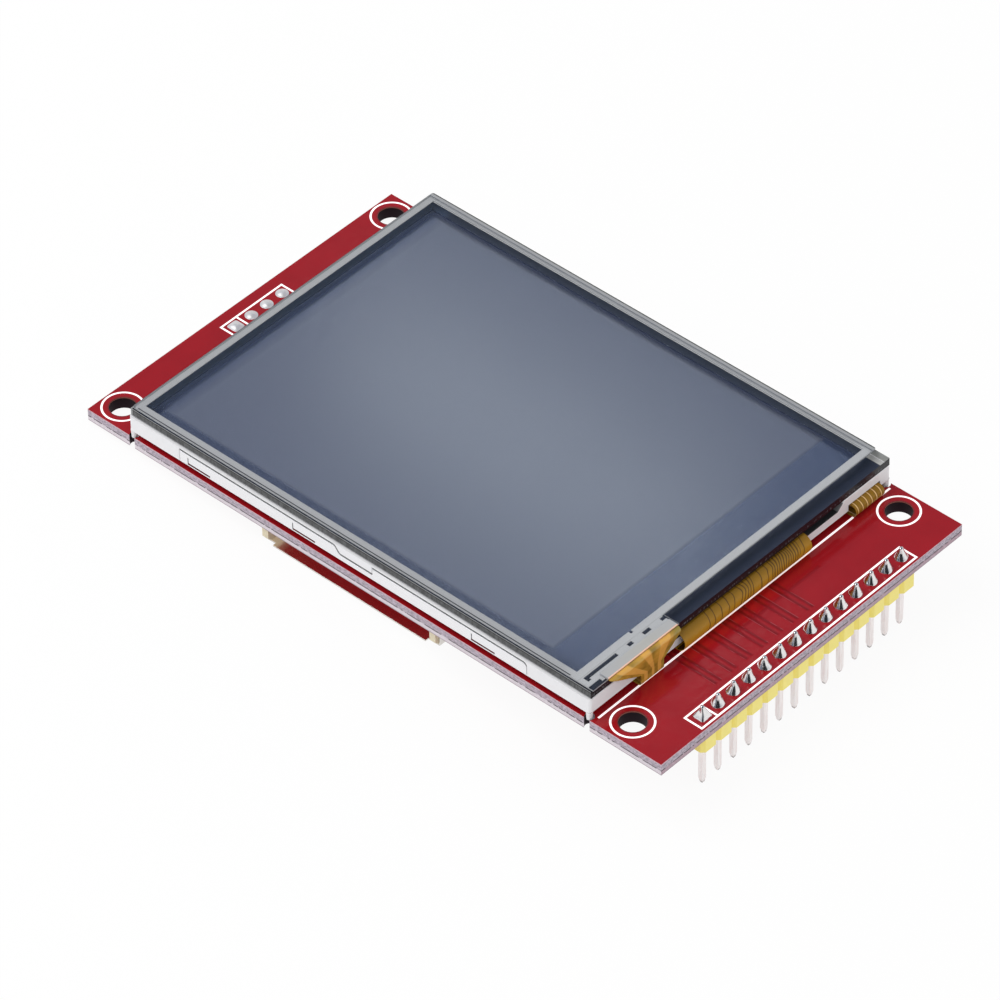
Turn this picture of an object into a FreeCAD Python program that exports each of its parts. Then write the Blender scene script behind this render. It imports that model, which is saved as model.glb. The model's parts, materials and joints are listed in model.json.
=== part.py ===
# Colour display module: a red circuit board that carries a touch display on
# its top face, and a memory card socket and a row of header pins underneath.
#
# Frame: millimetres. The origin is the centre of the four mounting holes, on
# the underside of the board. +X points to the pin header, +Z out of the screen.

import FreeCAD
import Part
import math
import os
from FreeCAD import Vector

# How far a cutting tool runs past what it cuts
OVERRUN = 1.0

# Facets round a solder joint and round the hole that it fills
SMALL_ROUND_SIDES = 12

# Circuit board: how far it stands out round the display, and its mounting holes
BOARD_PAST_LEFT = 6.6
BOARD_PAST_RIGHT = 10.2
BOARD_PAST_SIDES = 0.05
BOARD_THICK = 1.6
HOLE_DIA = 3.2
HOLE_TO_LEFT_EDGE = 2.7
HOLE_TO_RIGHT_EDGE = 6.6
HOLE_TO_SIDE_EDGE = 2.9

# Pin header, soldered along the right edge
HEADER_PINS = 14
PIN_PITCH = 2.54
PIN_SIDE = 0.64
PIN_BELOW = 5.75
PIN_ABOVE = 1.4
PIN_TAPER = 0.7
PIN_TIP = 0.38
PIN_HOLE_DIA = 1.02
HEADER_TO_RIGHT_EDGE = 1.64
MOULDING_HEIGHT = 2.54
MOULDING_WIDTH = 2.5
MOULDING_NOTCH = 0.45
FIT_GAP = 0.02

# Solder
HEADER_PAD_DIA = 1.8
PAD_THICK = 0.05
SOLDER_HEIGHT = 1.15
SOLDER_SHOULDER = 0.4
SOLDER_SHOULDER_DIA = 1.1
SOLDER_NECK_DIA = 0.95
CARD_PADS = 4
CARD_PAD_DIA = 1.58
CARD_DOME_HEIGHT = 0.3
CARD_DOME_DIA = 1.1

# Display frame, the white moulding
FRAME_LENGTH = 69.2
FRAME_WIDTH = 49.9
FRAME_CORNER = 0.5
SIDE_WALL = 0.95
END_WALL = 0.85
LEDGE = 0.9
PEG_DIA = 0.8
PEG_TIP_DIA = 0.68
PEG_DEPTH = 0.25
PEG_CLEAR = 0.2
LOW_WALL_FROM_NEAR = 10.95
LOW_WALL_FROM_FAR = 9.05
LOW_WALL_BEVEL = 1.1

# Foam tape that holds the display to the board
FOAM_THICK = 0.85
FOAM_WIDTH = 8.0
FOAM_FROM_ENDS = 7.6
FOAM_FROM_SIDES = 3.95

# Rear tray, folded from sheet metal
TRAY_THICK = 0.15
TRAY_INSET_X = 0.8
TRAY_INSET_Y = 0.6
TRAY_WALL_HEIGHT = 1.6
TRAY_WALL_FROM_LEFT = 8.0
TRAY_WALL_FROM_RIGHT = 9.1
TRAY_CORNER = 0.55
TRAY_TOP_SEAM = 0.25
TRAY_END_SEAM = 0.08
DIP_START = 23.7
DIP_LENGTH = 5.7
DIP_DEPTH = 0.9
DIP_SLOPE = 0.7
DIP_ROUND = 0.45
CATCHES_FROM_LEFT = (1.2, 17.3)
CATCH_FROM_RIGHT = 4.65
CATCH_WIDTH = 3.45
CATCH_RISE = 0.42
SLIT_RISE = 1.15
SLIT_WIDTH = 0.14

# Sheets and glass in the frame, from the tray upwards
REFLECTOR_THICK = 0.08
GUIDE_THICK = 0.6
DIFFUSER_THICK = 0.08
PRISM_THICK = 0.08
RIM_TAPE_THICK = 0.05
POLARISER_THICK = 0.13
PANEL_GLASS_THICK = 0.3
SHEET_CLEAR = 0.1
RIM_TAPE_COVER = 0.8
PANEL_CLEAR = 0.1
PANEL_END_CLEAR = 0.4
PANEL_LEDGE = 2.3
POLARISER_INSET = 0.3
TOP_CLEAR = 0.02

# Lamps of the backlight and their strip
LAMP_COUNT = 4
LAMP_PITCH = 11.0
LAMP_LENGTH = 3.4
LAMP_DEPTH = 1.0
LAMP_HEIGHT = 0.5
LAMP_BAY = 3.1
STRIP_END_CLEAR = 0.6

# Driver chip on the glass ledge
CHIP_LENGTH = 16.0
CHIP_WIDTH = 0.8
CHIP_THICK = 0.28
CHIP_FROM_EDGE = 1.75

# Flexible circuits
FLEX_THICK = 0.1
MAIN_FLEX_TO_TOUCH_TAB = 0.2
MAIN_FLEX_TO_TAIL = 7.6
MAIN_FLEX_BOND = 1.2
MAIN_FLEX_REACH = 0.95
MAIN_FLEX_TAIL = 8.0
TAIL_FLEX_WIDTH = 4.8
TAIL_FLEX_FROM_FAR = 2.15
TAIL_FLEX_REACH = 0.9
TAIL_OPENING_CLEAR = 0.3
FLEX_UNDER = 1.6

# Touch panel
TOUCH_INSET_LEFT = 0.2
TOUCH_INSET_Y = 0.25
MOUNT_TAPE_THICK = 0.1
MOUNT_TAPE_INSET = 0.12
MOUNT_TAPE_SIDE = 1.1
MOUNT_TAPE_END = 2.9
TOUCH_GLASS_THICK = 1.1
GLASS_CHAMFER = 0.08
RING_THICK = 0.1
FILM_THICK = 0.2
FILM_INSET_LEFT = 0.25
FILM_INSET_Y = 0.05
FILM_END_SETBACK = 1.9
FILM_TAB_OVERHANG = 0.28
TAB_FROM_NEAR = 2.45
TAB_WIDTH = 11.4
FILM_CORNER = 0.3
RING_LEFT = 0.95
RING_NEAR = 1.15
RING_FAR = 0.9
RING_RIGHT = 1.18
RING_INSET = 0.16

# Slots in the grey ring at the touch connection, from the film's near edge
SLOT_START_X = 1.13
SLOT_WIDTH = 0.5
SLOT_SPANS_Y = ((0.85, 2.85), (2.8, 6.05), (7.8, 8.55), (10.25, 11.4), (13.1, 13.95))
SLOT_FOOT_WIDTH = 0.8
SLOT_FOOT_HEIGHT = 0.5
CORNER_SLOT_X = 0.6
CORNER_SLOT_Y = 2.0
EDGE_NICK_Y = 9.6
EDGE_NICK = 0.4

# Touch connection
TOUCH_FLEX_BOND = 1.0
TOUCH_FLEX_REACH = 0.7
TOUCH_FLEX_BEND = 0.45
TOUCH_NECK_FROM_TAB = 4.75
TOUCH_NECK_WIDTH = 3.65
TOUCH_HEAD_DEPTH = 0.45
TOUCH_HEAD_INSET = 0.2
TOUCH_NECK_DROP = 2.5

# Memory card socket, under the board
SOCKET_CENTRE_X = -1.5
SOCKET_RAIL = 0.9
SOCKET_DEPTH = 28.0
SOCKET_HEIGHT = 2.8
SOCKET_RECESS = 1.15
COVER_THICK = 0.2
COVER_GAP_TO_BOARD = 0.6
COVER_LIP = 0.5
COVER_LIP_INSET = 1.75
COVER_REAR_INSET = 1.2
LUG_LENGTH = 2.2
LUG_FROM_FRONT = 2.0
LUG_FROM_REAR = 3.1
CARD_WIDTH = 24.0
CARD_CLEAR = 0.4
REAR_BLOCK = 3.5
CARRIER_LENGTH = 8.0
CARRIER_THICK = 0.45
PRONG_LENGTH = 0.5
PRONG_CHAMFER = 0.5
CONTACTS = 9
CONTACT_PITCH = 2.5
CONTACT_WIDTH = 0.8
CONTACT_THICK = 0.15
CONTACT_TAIL = 1.4
CONTACT_CLEAR = 0.1
CONTACT_STEP_FROM_REAR = (0.9, 1.8)
CONTACT_SPRING = 0.5
CONTACT_SPRING_LENGTH = 3.4
CONTACT_TIP_LENGTH = 1.1
CONTACT_TIP_RISE = 0.25
FINGER_LENGTH = 12.0
FINGER_WIDTH = 3.0
FINGER_SLIT = 0.35
FINGER_OFFSET_X = 7.5
FINGER_FROM_FRONT = 5.0

# Small parts under the board, placed from the header, the board's near edge and each other
CONTROLLER_FROM_HEADER = 15.8
CONTROLLER_Y = 6.0
CONTROLLER_BODY = (4.4, 5.0, 0.95)
CONTROLLER_LEADS = 8
CONTROLLER_LEAD_PITCH = 0.65
CONTROLLER_SPAN = 6.4
CONTROLLER_LEAD_WIDTH = 0.24
REGULATOR_FROM_HEADER = 9.3
TRANSISTOR_FROM_HEADER = 18.3
REGULATOR_FROM_NEAR = 12.0
SMALL_BODY = (1.3, 2.9, 1.0)
SMALL_LEAD_PITCH = 0.95
SMALL_SPAN = 2.6
SMALL_LEAD_WIDTH = 0.4
LEAD_THICK = 0.12
LEAD_FOOT = 0.35
BODY_STANDOFF = 0.08
BODY_DRAFT = 0.12
CHIP_PART = (1.6, 0.8)
CHIP_PART_CAP = 0.3
RESISTOR_HEIGHT = 0.45
CAPACITOR_HEIGHT = 0.8
CAP_RIM = 0.03
RESISTOR_ROW_PITCH = 2.2
RESISTORS_LEFT_OF_CONTROLLER = 4
RESISTORS_RIGHT_OF_CONTROLLER = 2
RESISTORS_BY_SOCKET = 2
ROW_LEFT_OF_CONTROLLER = 7.5
ROW_RIGHT_OF_CONTROLLER = 7.0
ROW_BEFORE_CONTROLLER = 3.0
ROW_LEFT_OF_SOCKET = 5.2
SOCKET_ROW_Y = -6.2
CAPACITOR_PAST_CONTROLLER = 6.0
CAPACITOR_PAST_ROW = 2.8
CAPACITOR_BEFORE_REGULATOR = 4.5
CAPACITOR_RIGHT_OF_REGULATOR = 4.0
CAPACITOR_PAST_SOCKET_ROW = 4.5

# Places that follow from the sizes above
BOARD_LENGTH = BOARD_PAST_LEFT + FRAME_LENGTH + BOARD_PAST_RIGHT
BOARD_Y = FRAME_WIDTH / 2 + BOARD_PAST_SIDES
HOLE_X = (BOARD_LENGTH - HOLE_TO_LEFT_EDGE - HOLE_TO_RIGHT_EDGE) / 2
HOLE_Y = BOARD_Y - HOLE_TO_SIDE_EDGE
BOARD_X0 = -HOLE_X - HOLE_TO_LEFT_EDGE
BOARD_X1 = HOLE_X + HOLE_TO_RIGHT_EDGE
HEADER_X = BOARD_X1 - HEADER_TO_RIGHT_EDGE
CARD_PAD_X = -HOLE_X

FRAME_X0 = BOARD_X0 + BOARD_PAST_LEFT
FRAME_X1 = BOARD_X1 - BOARD_PAST_RIGHT
FRAME_Y = FRAME_WIDTH / 2
FRAME_Z0 = BOARD_THICK + FOAM_THICK
REFLECTOR_Z = FRAME_Z0 + TRAY_THICK
GUIDE_Z = REFLECTOR_Z + REFLECTOR_THICK
DIFFUSER_Z = GUIDE_Z + GUIDE_THICK
LOWER_PRISM_Z = DIFFUSER_Z + DIFFUSER_THICK
UPPER_PRISM_Z = LOWER_PRISM_Z + PRISM_THICK
LEDGE_Z = UPPER_PRISM_Z + PRISM_THICK
REAR_POLARISER_Z = LEDGE_Z + RIM_TAPE_THICK
ARRAY_Z = REAR_POLARISER_Z + POLARISER_THICK
FILTER_Z = ARRAY_Z + PANEL_GLASS_THICK
FRONT_POLARISER_Z = FILTER_Z + PANEL_GLASS_THICK
FRAME_Z1 = FRONT_POLARISER_Z + POLARISER_THICK + TOP_CLEAR
POCKET_X0 = FRAME_X0 + SIDE_WALL
POCKET_X1 = FRAME_X1 - END_WALL
POCKET_Y = FRAME_Y - SIDE_WALL
CAVITY_X0 = POCKET_X0 + LEDGE
CAVITY_Y = POCKET_Y - LEDGE
GUIDE_X1 = POCKET_X1 - LAMP_BAY
PANEL_X0 = POCKET_X0 + PANEL_CLEAR
PANEL_X1 = POCKET_X1 - PANEL_END_CLEAR
PANEL_Y = POCKET_Y - PANEL_CLEAR
FILTER_X1 = PANEL_X1 - PANEL_LEDGE
STRIP_Z = REFLECTOR_Z + LAMP_HEIGHT
TRAY_WALL_X0 = FRAME_X0 + TRAY_WALL_FROM_LEFT
TRAY_WALL_X1 = FRAME_X1 - TRAY_WALL_FROM_RIGHT
TRAY_WALL_Z = FRAME_Z0 + TRAY_WALL_HEIGHT

TOUCH_X0 = FRAME_X0 + TOUCH_INSET_LEFT
TOUCH_X1 = FRAME_X1
TOUCH_Y = FRAME_Y - TOUCH_INSET_Y
TOUCH_GLASS_Z = FRAME_Z1 + MOUNT_TAPE_THICK
RING_Z = TOUCH_GLASS_Z + TOUCH_GLASS_THICK
FILM_Z = RING_Z + RING_THICK
FILM_X0 = TOUCH_X0 + FILM_INSET_LEFT
FILM_X1 = TOUCH_X1 - FILM_END_SETBACK
FILM_TAB_X1 = TOUCH_X1 + FILM_TAB_OVERHANG
FILM_Y = TOUCH_Y - FILM_INSET_Y
SLOT_X0 = FILM_X1 - RING_RIGHT + SLOT_START_X
TAB_Y0 = -FILM_Y + TAB_FROM_NEAR
TAB_Y1 = TAB_Y0 + TAB_WIDTH

TAIL_FLEX_Y1 = FRAME_Y - TAIL_FLEX_FROM_FAR
TAIL_FLEX_Y0 = TAIL_FLEX_Y1 - TAIL_FLEX_WIDTH
MAIN_FLEX_Y0 = TAB_Y1 + MAIN_FLEX_TO_TOUCH_TAB
MAIN_FLEX_Y1 = TAIL_FLEX_Y0 - MAIN_FLEX_TO_TAIL

SLOT_HALF = (CARD_WIDTH + CARD_CLEAR) / 2
SOCKET_X0 = SOCKET_CENTRE_X - SLOT_HALF - SOCKET_RAIL - COVER_THICK
SOCKET_X1 = SOCKET_CENTRE_X + SLOT_HALF + SOCKET_RAIL + COVER_THICK
SOCKET_Y0 = -BOARD_Y + SOCKET_RECESS
SOCKET_Y1 = SOCKET_Y0 + SOCKET_DEPTH
COVER_INNER_Z = COVER_THICK - SOCKET_HEIGHT

CONTROLLER_AT = (HEADER_X - CONTROLLER_FROM_HEADER, CONTROLLER_Y)
REGULATOR_AT = (HEADER_X - REGULATOR_FROM_HEADER, -BOARD_Y + REGULATOR_FROM_NEAR)
TRANSISTOR_AT = (HEADER_X - TRANSISTOR_FROM_HEADER, -BOARD_Y + REGULATOR_FROM_NEAR)


# Geometry helpers

def box(x0, x1, y0, y1, z0, z1):
    """A block between two corners."""
    return Part.makeBox(x1 - x0, y1 - y0, z1 - z0, Vector(x0, y0, z0))


def round_outline(corners, place):
    """A closed face from (u, v, radius) corners, with tangent arcs at the corners."""
    edges = []
    starts = []
    ends = []
    middles = []
    count = len(corners)
    for index, (u, v, radius) in enumerate(corners):
        here = Vector(u, v, 0)
        back = Vector(corners[index - 1][0], corners[index - 1][1], 0) - here
        ahead = Vector(corners[(index + 1) % count][0], corners[(index + 1) % count][1], 0) - here
        back.normalize()
        ahead.normalize()
        if radius <= 0:
            starts.append(here)
            ends.append(here)
            middles.append(None)
            continue
        half = back.getAngle(ahead) / 2
        reach = radius / math.tan(half)
        inward = back + ahead
        inward.normalize()
        starts.append(here + back * reach)
        ends.append(here + ahead * reach)
        middles.append(here + inward * (radius / math.sin(half) - radius))
    for index in range(count):
        if middles[index] is not None:
            arc = (starts[index], middles[index], ends[index])
            edges.append(Part.Arc(*[place(p.x, p.y) for p in arc]).toShape())
        leave = ends[index]
        arrive = starts[(index + 1) % count]
        if leave.distanceToPoint(arrive) > 1e-6:
            edges.append(Part.makeLine(place(leave.x, leave.y), place(arrive.x, arrive.y)))
    return Part.Face(Part.Wire(edges))


def plate(corners, z0, z1):
    """A flat plate: its outline lies in XY."""
    face = round_outline(corners, lambda u, v: Vector(u, v, z0))
    return face.extrude(Vector(0, 0, z1 - z0))


def along_y(corners, y0, y1):
    """A bar along Y: its outline lies in XZ."""
    face = round_outline(corners, lambda u, v: Vector(u, y0, v))
    return face.extrude(Vector(0, y1 - y0, 0))


def along_x(corners, x0, x1):
    """A bar along X: its outline lies in YZ."""
    face = round_outline(corners, lambda u, v: Vector(x0, u, v))
    return face.extrude(Vector(x1 - x0, 0, 0))


def ribbon(path, thick):
    """Outline corners of a strip of even thickness that follows (u, v, bend radius) points."""
    sides = {1: [], -1: []}
    last = len(path) - 1
    for index, (u, v, radius) in enumerate(path):
        normals = []
        directions = []
        for a, b in ((index - 1, index), (index, index + 1)):
            if a < 0 or b > last:
                continue
            du = path[b][0] - path[a][0]
            dv = path[b][1] - path[a][1]
            length = math.hypot(du, dv)
            directions.append((du / length, dv / length))
            normals.append((-dv / length, du / length))
        if len(normals) == 1:
            miter = normals[0]
            turn = 0
        else:
            scale = 1 + normals[0][0] * normals[1][0] + normals[0][1] * normals[1][1]
            miter = ((normals[0][0] + normals[1][0]) / scale, (normals[0][1] + normals[1][1]) / scale)
            cross = directions[0][0] * directions[1][1] - directions[0][1] * directions[1][0]
            turn = 1 if cross > 0 else -1
        for side in sides:
            bend = radius - side * turn * thick / 2 if radius > 0 else 0
            sides[side].append((u + side * miter[0] * thick / 2, v + side * miter[1] * thick / 2, bend))
    return sides[1] + sides[-1][::-1]


def stacked(rings):
    """A solid with flat faces through level rings of points, one above the other."""
    faces = [Part.Face(Part.makePolygon(ring + ring[:1])) for ring in (rings[0], rings[-1])]
    for low, high in zip(rings, rings[1:]):
        for index in range(len(low)):
            after = (index + 1) % len(low)
            corners = [low[index], low[after], high[after], high[index], low[index]]
            faces.append(Part.Face(Part.makePolygon(corners)))
    return Part.makeSolid(Part.makeShell(faces))


def level_rectangle(x, y, z, length, width):
    """A ring of four points about (x, y)."""
    return [Vector(x + sx * length / 2, y + sy * width / 2, z)
            for sx, sy in ((-1, -1), (1, -1), (1, 1), (-1, 1))]


def level_polygon(x, y, z, dia):
    """A ring of points on a small circle about (x, y)."""
    points = []
    for index in range(SMALL_ROUND_SIDES):
        angle = 2 * math.pi * index / SMALL_ROUND_SIDES
        points.append(Vector(x + dia / 2 * math.cos(angle), y + dia / 2 * math.sin(angle), z))
    return points


def small_turned(x, y, profile):
    """A small round solid about a vertical axis, from (diameter, z) points, with flat facets."""
    return stacked([level_polygon(x, y, z, dia) for dia, z in profile])


def joined(shapes):
    """Several solids fused into one clean solid."""
    return shapes[0].multiFuse(shapes[1:]).removeSplitter()


# Circuit board and header

def header_places():
    """Centre of each header pin, the first at the near end."""
    first = -(HEADER_PINS - 1) * PIN_PITCH / 2
    return [(HEADER_X, first + index * PIN_PITCH) for index in range(HEADER_PINS)]


def card_pad_places():
    """Centre of each pad of the unused card header."""
    first = -(CARD_PADS - 1) * PIN_PITCH / 2
    return [(CARD_PAD_X, first + index * PIN_PITCH) for index in range(CARD_PADS)]


def mounting_hole_places():
    return [(sx * HOLE_X, sy * HOLE_Y) for sx in (-1, 1) for sy in (-1, 1)]


def peg_places():
    """Centre of each corner peg of the display frame."""
    inset = PEG_DIA / 2
    return [(x, sy * (FRAME_Y - inset)) for x in (FRAME_X0 + inset, FRAME_X1 - inset) for sy in (-1, 1)]


def circuit_board():
    board = box(BOARD_X0, BOARD_X1, -BOARD_Y, BOARD_Y, 0, BOARD_THICK)
    drills = []
    for places, radius in ((mounting_hole_places(), HOLE_DIA / 2),
                           (peg_places(), PEG_DIA / 2 + PEG_CLEAR)):
        for x, y in places:
            drills.append(Part.makeCylinder(radius, BOARD_THICK, Vector(x, y, 0)))
    for x, y in header_places() + card_pad_places():
        drills.append(small_turned(x, y, [(PIN_HOLE_DIA, 0), (PIN_HOLE_DIA, BOARD_THICK)]))
    return board.cut(Part.makeCompound(drills))


def header_pin(x, y):
    """A square pin with tapered ends."""
    foot = -MOULDING_HEIGHT - PIN_BELOW
    head = BOARD_THICK + PIN_ABOVE
    stations = ((foot, PIN_TIP), (foot + PIN_TAPER, PIN_SIDE), (head - PIN_TAPER, PIN_SIDE), (head, PIN_TIP))
    return stacked([level_rectangle(x, y, z, side, side) for z, side in stations])


def header_strip():
    """The moulded strip: one chamfered block for each pin, in one piece."""
    half = MOULDING_WIDTH / 2
    right = []
    left = []
    for x, y in header_places():
        y0 = y - PIN_PITCH / 2
        y1 = y + PIN_PITCH / 2
        stations = ((half - MOULDING_NOTCH, y0), (half, y0 + MOULDING_NOTCH), (half, y1 - MOULDING_NOTCH))
        right += [(x + reach, station, 0) for reach, station in stations]
        left += [(x - reach, station, 0) for reach, station in stations]
    right.append((x + half - MOULDING_NOTCH, y1, 0))
    left.append((x - half + MOULDING_NOTCH, y1, 0))
    strip = plate(right + left[::-1], -MOULDING_HEIGHT, 0)
    reach = PIN_SIDE / 2 + FIT_GAP
    holes = [box(x - reach, x + reach, y - reach, y + reach, -MOULDING_HEIGHT, 0)
             for x, y in header_places()]
    return strip.cut(Part.makeCompound(holes))


def header_solder():
    """A solder cone round each pin, on its pad and down through its hole."""
    barrel = PIN_HOLE_DIA - 2 * FIT_GAP
    half = HEADER_PAD_DIA / 2
    cones = []
    for index, (x, y) in enumerate(header_places()):
        cone = small_turned(x, y, [(barrel, FIT_GAP), (barrel, BOARD_THICK), (HEADER_PAD_DIA, BOARD_THICK),
                                   (HEADER_PAD_DIA, BOARD_THICK + PAD_THICK),
                                   (SOLDER_SHOULDER_DIA, BOARD_THICK + SOLDER_SHOULDER),
                                   (SOLDER_NECK_DIA, BOARD_THICK + SOLDER_HEIGHT)])
        if index == 0:
            square = box(x - half, x + half, y - half, y + half, BOARD_THICK, BOARD_THICK + PAD_THICK)
            cone = joined([cone, square])
        cones.append(cone.cut(header_pin(x, y)))
    return Part.makeCompound(cones)


def card_pad_solder():
    """Solder that fills the four unused holes, with a low dome on each pad."""
    barrel = PIN_HOLE_DIA - 2 * FIT_GAP
    half = CARD_PAD_DIA / 2
    domes = []
    for index, (x, y) in enumerate(card_pad_places()):
        dome = small_turned(x, y, [(barrel, FIT_GAP), (barrel, BOARD_THICK), (CARD_PAD_DIA, BOARD_THICK),
                                   (CARD_PAD_DIA, BOARD_THICK + PAD_THICK),
                                   (CARD_DOME_DIA, BOARD_THICK + CARD_DOME_HEIGHT)])
        if index == 0:
            square = box(x - half, x + half, y - half, y + half, BOARD_THICK, BOARD_THICK + PAD_THICK)
            dome = joined([dome, square])
        domes.append(dome)
    return Part.makeCompound(domes)


def foam_tape():
    strips = []
    outer = FRAME_Y - FOAM_FROM_SIDES
    for y0, y1 in ((-outer, FOAM_WIDTH - outer), (outer - FOAM_WIDTH, outer)):
        strips.append(box(FRAME_X0 + FOAM_FROM_ENDS, FRAME_X1 - FOAM_FROM_ENDS, y0, y1,
                          BOARD_THICK, FRAME_Z0))
    return Part.makeCompound(strips)


# Display frame and tray

def tray_blank(top, x0, x1):
    """The tray as folded, before its edges are cut: a floor with two side walls."""
    floor = box(FRAME_X0 + TRAY_INSET_X, POCKET_X1 - SHEET_CLEAR, -FRAME_Y + TRAY_INSET_Y,
                FRAME_Y - TRAY_INSET_Y, FRAME_Z0, REFLECTOR_Z)
    inner = FRAME_Y - TRAY_THICK
    section = [(-FRAME_Y, FRAME_Z0, TRAY_THICK), (FRAME_Y, FRAME_Z0, TRAY_THICK), (FRAME_Y, top, 0),
               (inner, top, 0), (inner, REFLECTOR_Z, 0), (-inner, REFLECTOR_Z, 0),
               (-inner, top, 0), (-FRAME_Y, top, 0)]
    return joined([floor, along_x(section, x0, x1)])


def tray_dip(top, x0, x1):
    """The notch in the top of both side walls, as a bar that crosses the tray; its left side is an S."""
    low = top - DIP_DEPTH
    high = top + OVERRUN
    corners = [(x0 - OVERRUN, top, 0), (x0, top, DIP_ROUND), (x0 + DIP_SLOPE, low, DIP_ROUND),
               (x1, low, 0), (x1, high, 0), (x0 - OVERRUN, high, 0)]
    return along_y(corners, -FRAME_Y, FRAME_Y)


def tray_end_rounds(top, x1):
    """What is taken off the top corner at the right end of both side walls."""
    x0 = x1 - TRAY_CORNER
    z0 = top - TRAY_CORNER
    corner = box(x0, x1, -FRAME_Y, FRAME_Y, z0, top)
    rod = Part.makeCylinder(TRAY_CORNER, 2 * FRAME_Y, Vector(x0, -FRAME_Y, z0), Vector(0, 1, 0))
    return corner.cut(rod)


def folded_tray(top_seam, end_seam):
    """The tray with its dip and rounded ends, grown by the seam that the frame leaves round its walls."""
    top = TRAY_WALL_Z + top_seam
    dip_x0 = TRAY_WALL_X0 + DIP_START
    x1 = TRAY_WALL_X1 + end_seam
    tray = tray_blank(top, TRAY_WALL_X0 - end_seam, x1)
    tray = tray.cut(tray_dip(top, dip_x0 + end_seam, dip_x0 + DIP_LENGTH - end_seam))
    return tray.cut(tray_end_rounds(top, x1))


def tray_catches():
    """The catch slots in the foot of the side walls, each with a slit at its left end."""
    cuts = []
    starts = [TRAY_WALL_X0 + start for start in CATCHES_FROM_LEFT]
    starts.append(TRAY_WALL_X1 - CATCH_FROM_RIGHT - CATCH_WIDTH)
    for x0 in starts:
        for side in (-1, 1):
            y0, y1 = sorted((side * (FRAME_Y - 2 * TRAY_THICK), side * FRAME_Y))
            cuts.append(box(x0, x0 + CATCH_WIDTH, y0, y1, FRAME_Z0, FRAME_Z0 + CATCH_RISE))
            cuts.append(box(x0, x0 + SLIT_WIDTH, y0, y1, FRAME_Z0, FRAME_Z0 + SLIT_RISE))
    return Part.makeCompound(cuts)


def rear_tray():
    return folded_tray(0.0, 0.0).cut(tray_catches())


def backlight_frame():
    """The white moulding: a stepped ring with corner pegs and a cut-down right wall."""
    body = box(FRAME_X0, FRAME_X1, -FRAME_Y, FRAME_Y, FRAME_Z0, FRAME_Z1)
    uprights = [edge for edge in body.Edges if abs(edge.tangentAt(edge.FirstParameter).z) > 0.9]
    body = body.makeFillet(FRAME_CORNER, uprights)
    pocket = box(POCKET_X0, POCKET_X1, -POCKET_Y, POCKET_Y, LEDGE_Z, FRAME_Z1)
    cavity = box(CAVITY_X0, POCKET_X1, -CAVITY_Y, CAVITY_Y, FRAME_Z0, LEDGE_Z)
    rise = FRAME_Z1 - LEDGE_Z
    low0 = -FRAME_Y + LOW_WALL_FROM_NEAR
    low1 = FRAME_Y - LOW_WALL_FROM_FAR
    gap = along_x([(low0, LEDGE_Z, 0), (low1, LEDGE_Z, 0), (low1 + LOW_WALL_BEVEL, LEDGE_Z + rise, 0),
                   (low0 - LOW_WALL_BEVEL, LEDGE_Z + rise, 0)], POCKET_X1, FRAME_X1)
    opening = box(POCKET_X1, FRAME_X1, TAIL_FLEX_Y0 - TAIL_OPENING_CLEAR, TAIL_FLEX_Y1 + TAIL_OPENING_CLEAR,
                  FRAME_Z0, STRIP_Z + FLEX_THICK + SHEET_CLEAR)
    recess = folded_tray(TRAY_TOP_SEAM, TRAY_END_SEAM)
    body = body.cut(Part.makeCompound([pocket, cavity])).cut(gap)
    body = body.cut(opening).cut(recess)
    pegs = []
    for x, y in peg_places():
        pegs.append(Part.makeCone(PEG_TIP_DIA / 2, PEG_DIA / 2, FOAM_THICK + PEG_DEPTH,
                                  Vector(x, y, BOARD_THICK - PEG_DEPTH), Vector(0, 0, 1)))
    return joined([body] + pegs)


# Backlight and panel

def light_sheet(z, thick):
    """A full-size sheet of the backlight, lying in the frame's lower cavity."""
    return box(CAVITY_X0 + SHEET_CLEAR, GUIDE_X1, -CAVITY_Y + SHEET_CLEAR, CAVITY_Y - SHEET_CLEAR,
               z, z + thick)


def rim_tape():
    """Black tape on the ledge that holds the sheets down and the panel up."""
    outer = box(POCKET_X0 + SHEET_CLEAR, POCKET_X1 - SHEET_CLEAR, -POCKET_Y + SHEET_CLEAR,
                POCKET_Y - SHEET_CLEAR, LEDGE_Z, REAR_POLARISER_Z)
    window = box(CAVITY_X0 + RIM_TAPE_COVER, GUIDE_X1 - RIM_TAPE_COVER, -CAVITY_Y + RIM_TAPE_COVER,
                 CAVITY_Y - RIM_TAPE_COVER, LEDGE_Z, REAR_POLARISER_Z)
    return outer.cut(window)


def backlight_lamps():
    """The lamps, standing on the reflector side of their strip and facing the light guide."""
    x0 = GUIDE_X1 + SHEET_CLEAR
    first = -(LAMP_COUNT - 1) * LAMP_PITCH / 2
    lamps = []
    for index in range(LAMP_COUNT):
        y = first + index * LAMP_PITCH
        lamps.append(box(x0, x0 + LAMP_DEPTH, y - LAMP_LENGTH / 2, y + LAMP_LENGTH / 2,
                         REFLECTOR_Z, STRIP_Z))
    return Part.makeCompound(lamps)


def flex_fold(x0, upper, out, lower, x1):
    """Side view of a flex that leaves at one height, folds over and comes back at a lower one."""
    bend = (upper - lower) / 2
    return ribbon([(x0, upper, 0), (out, upper, bend), (out, lower, bend), (x1, lower, 0)], FLEX_THICK)


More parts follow.
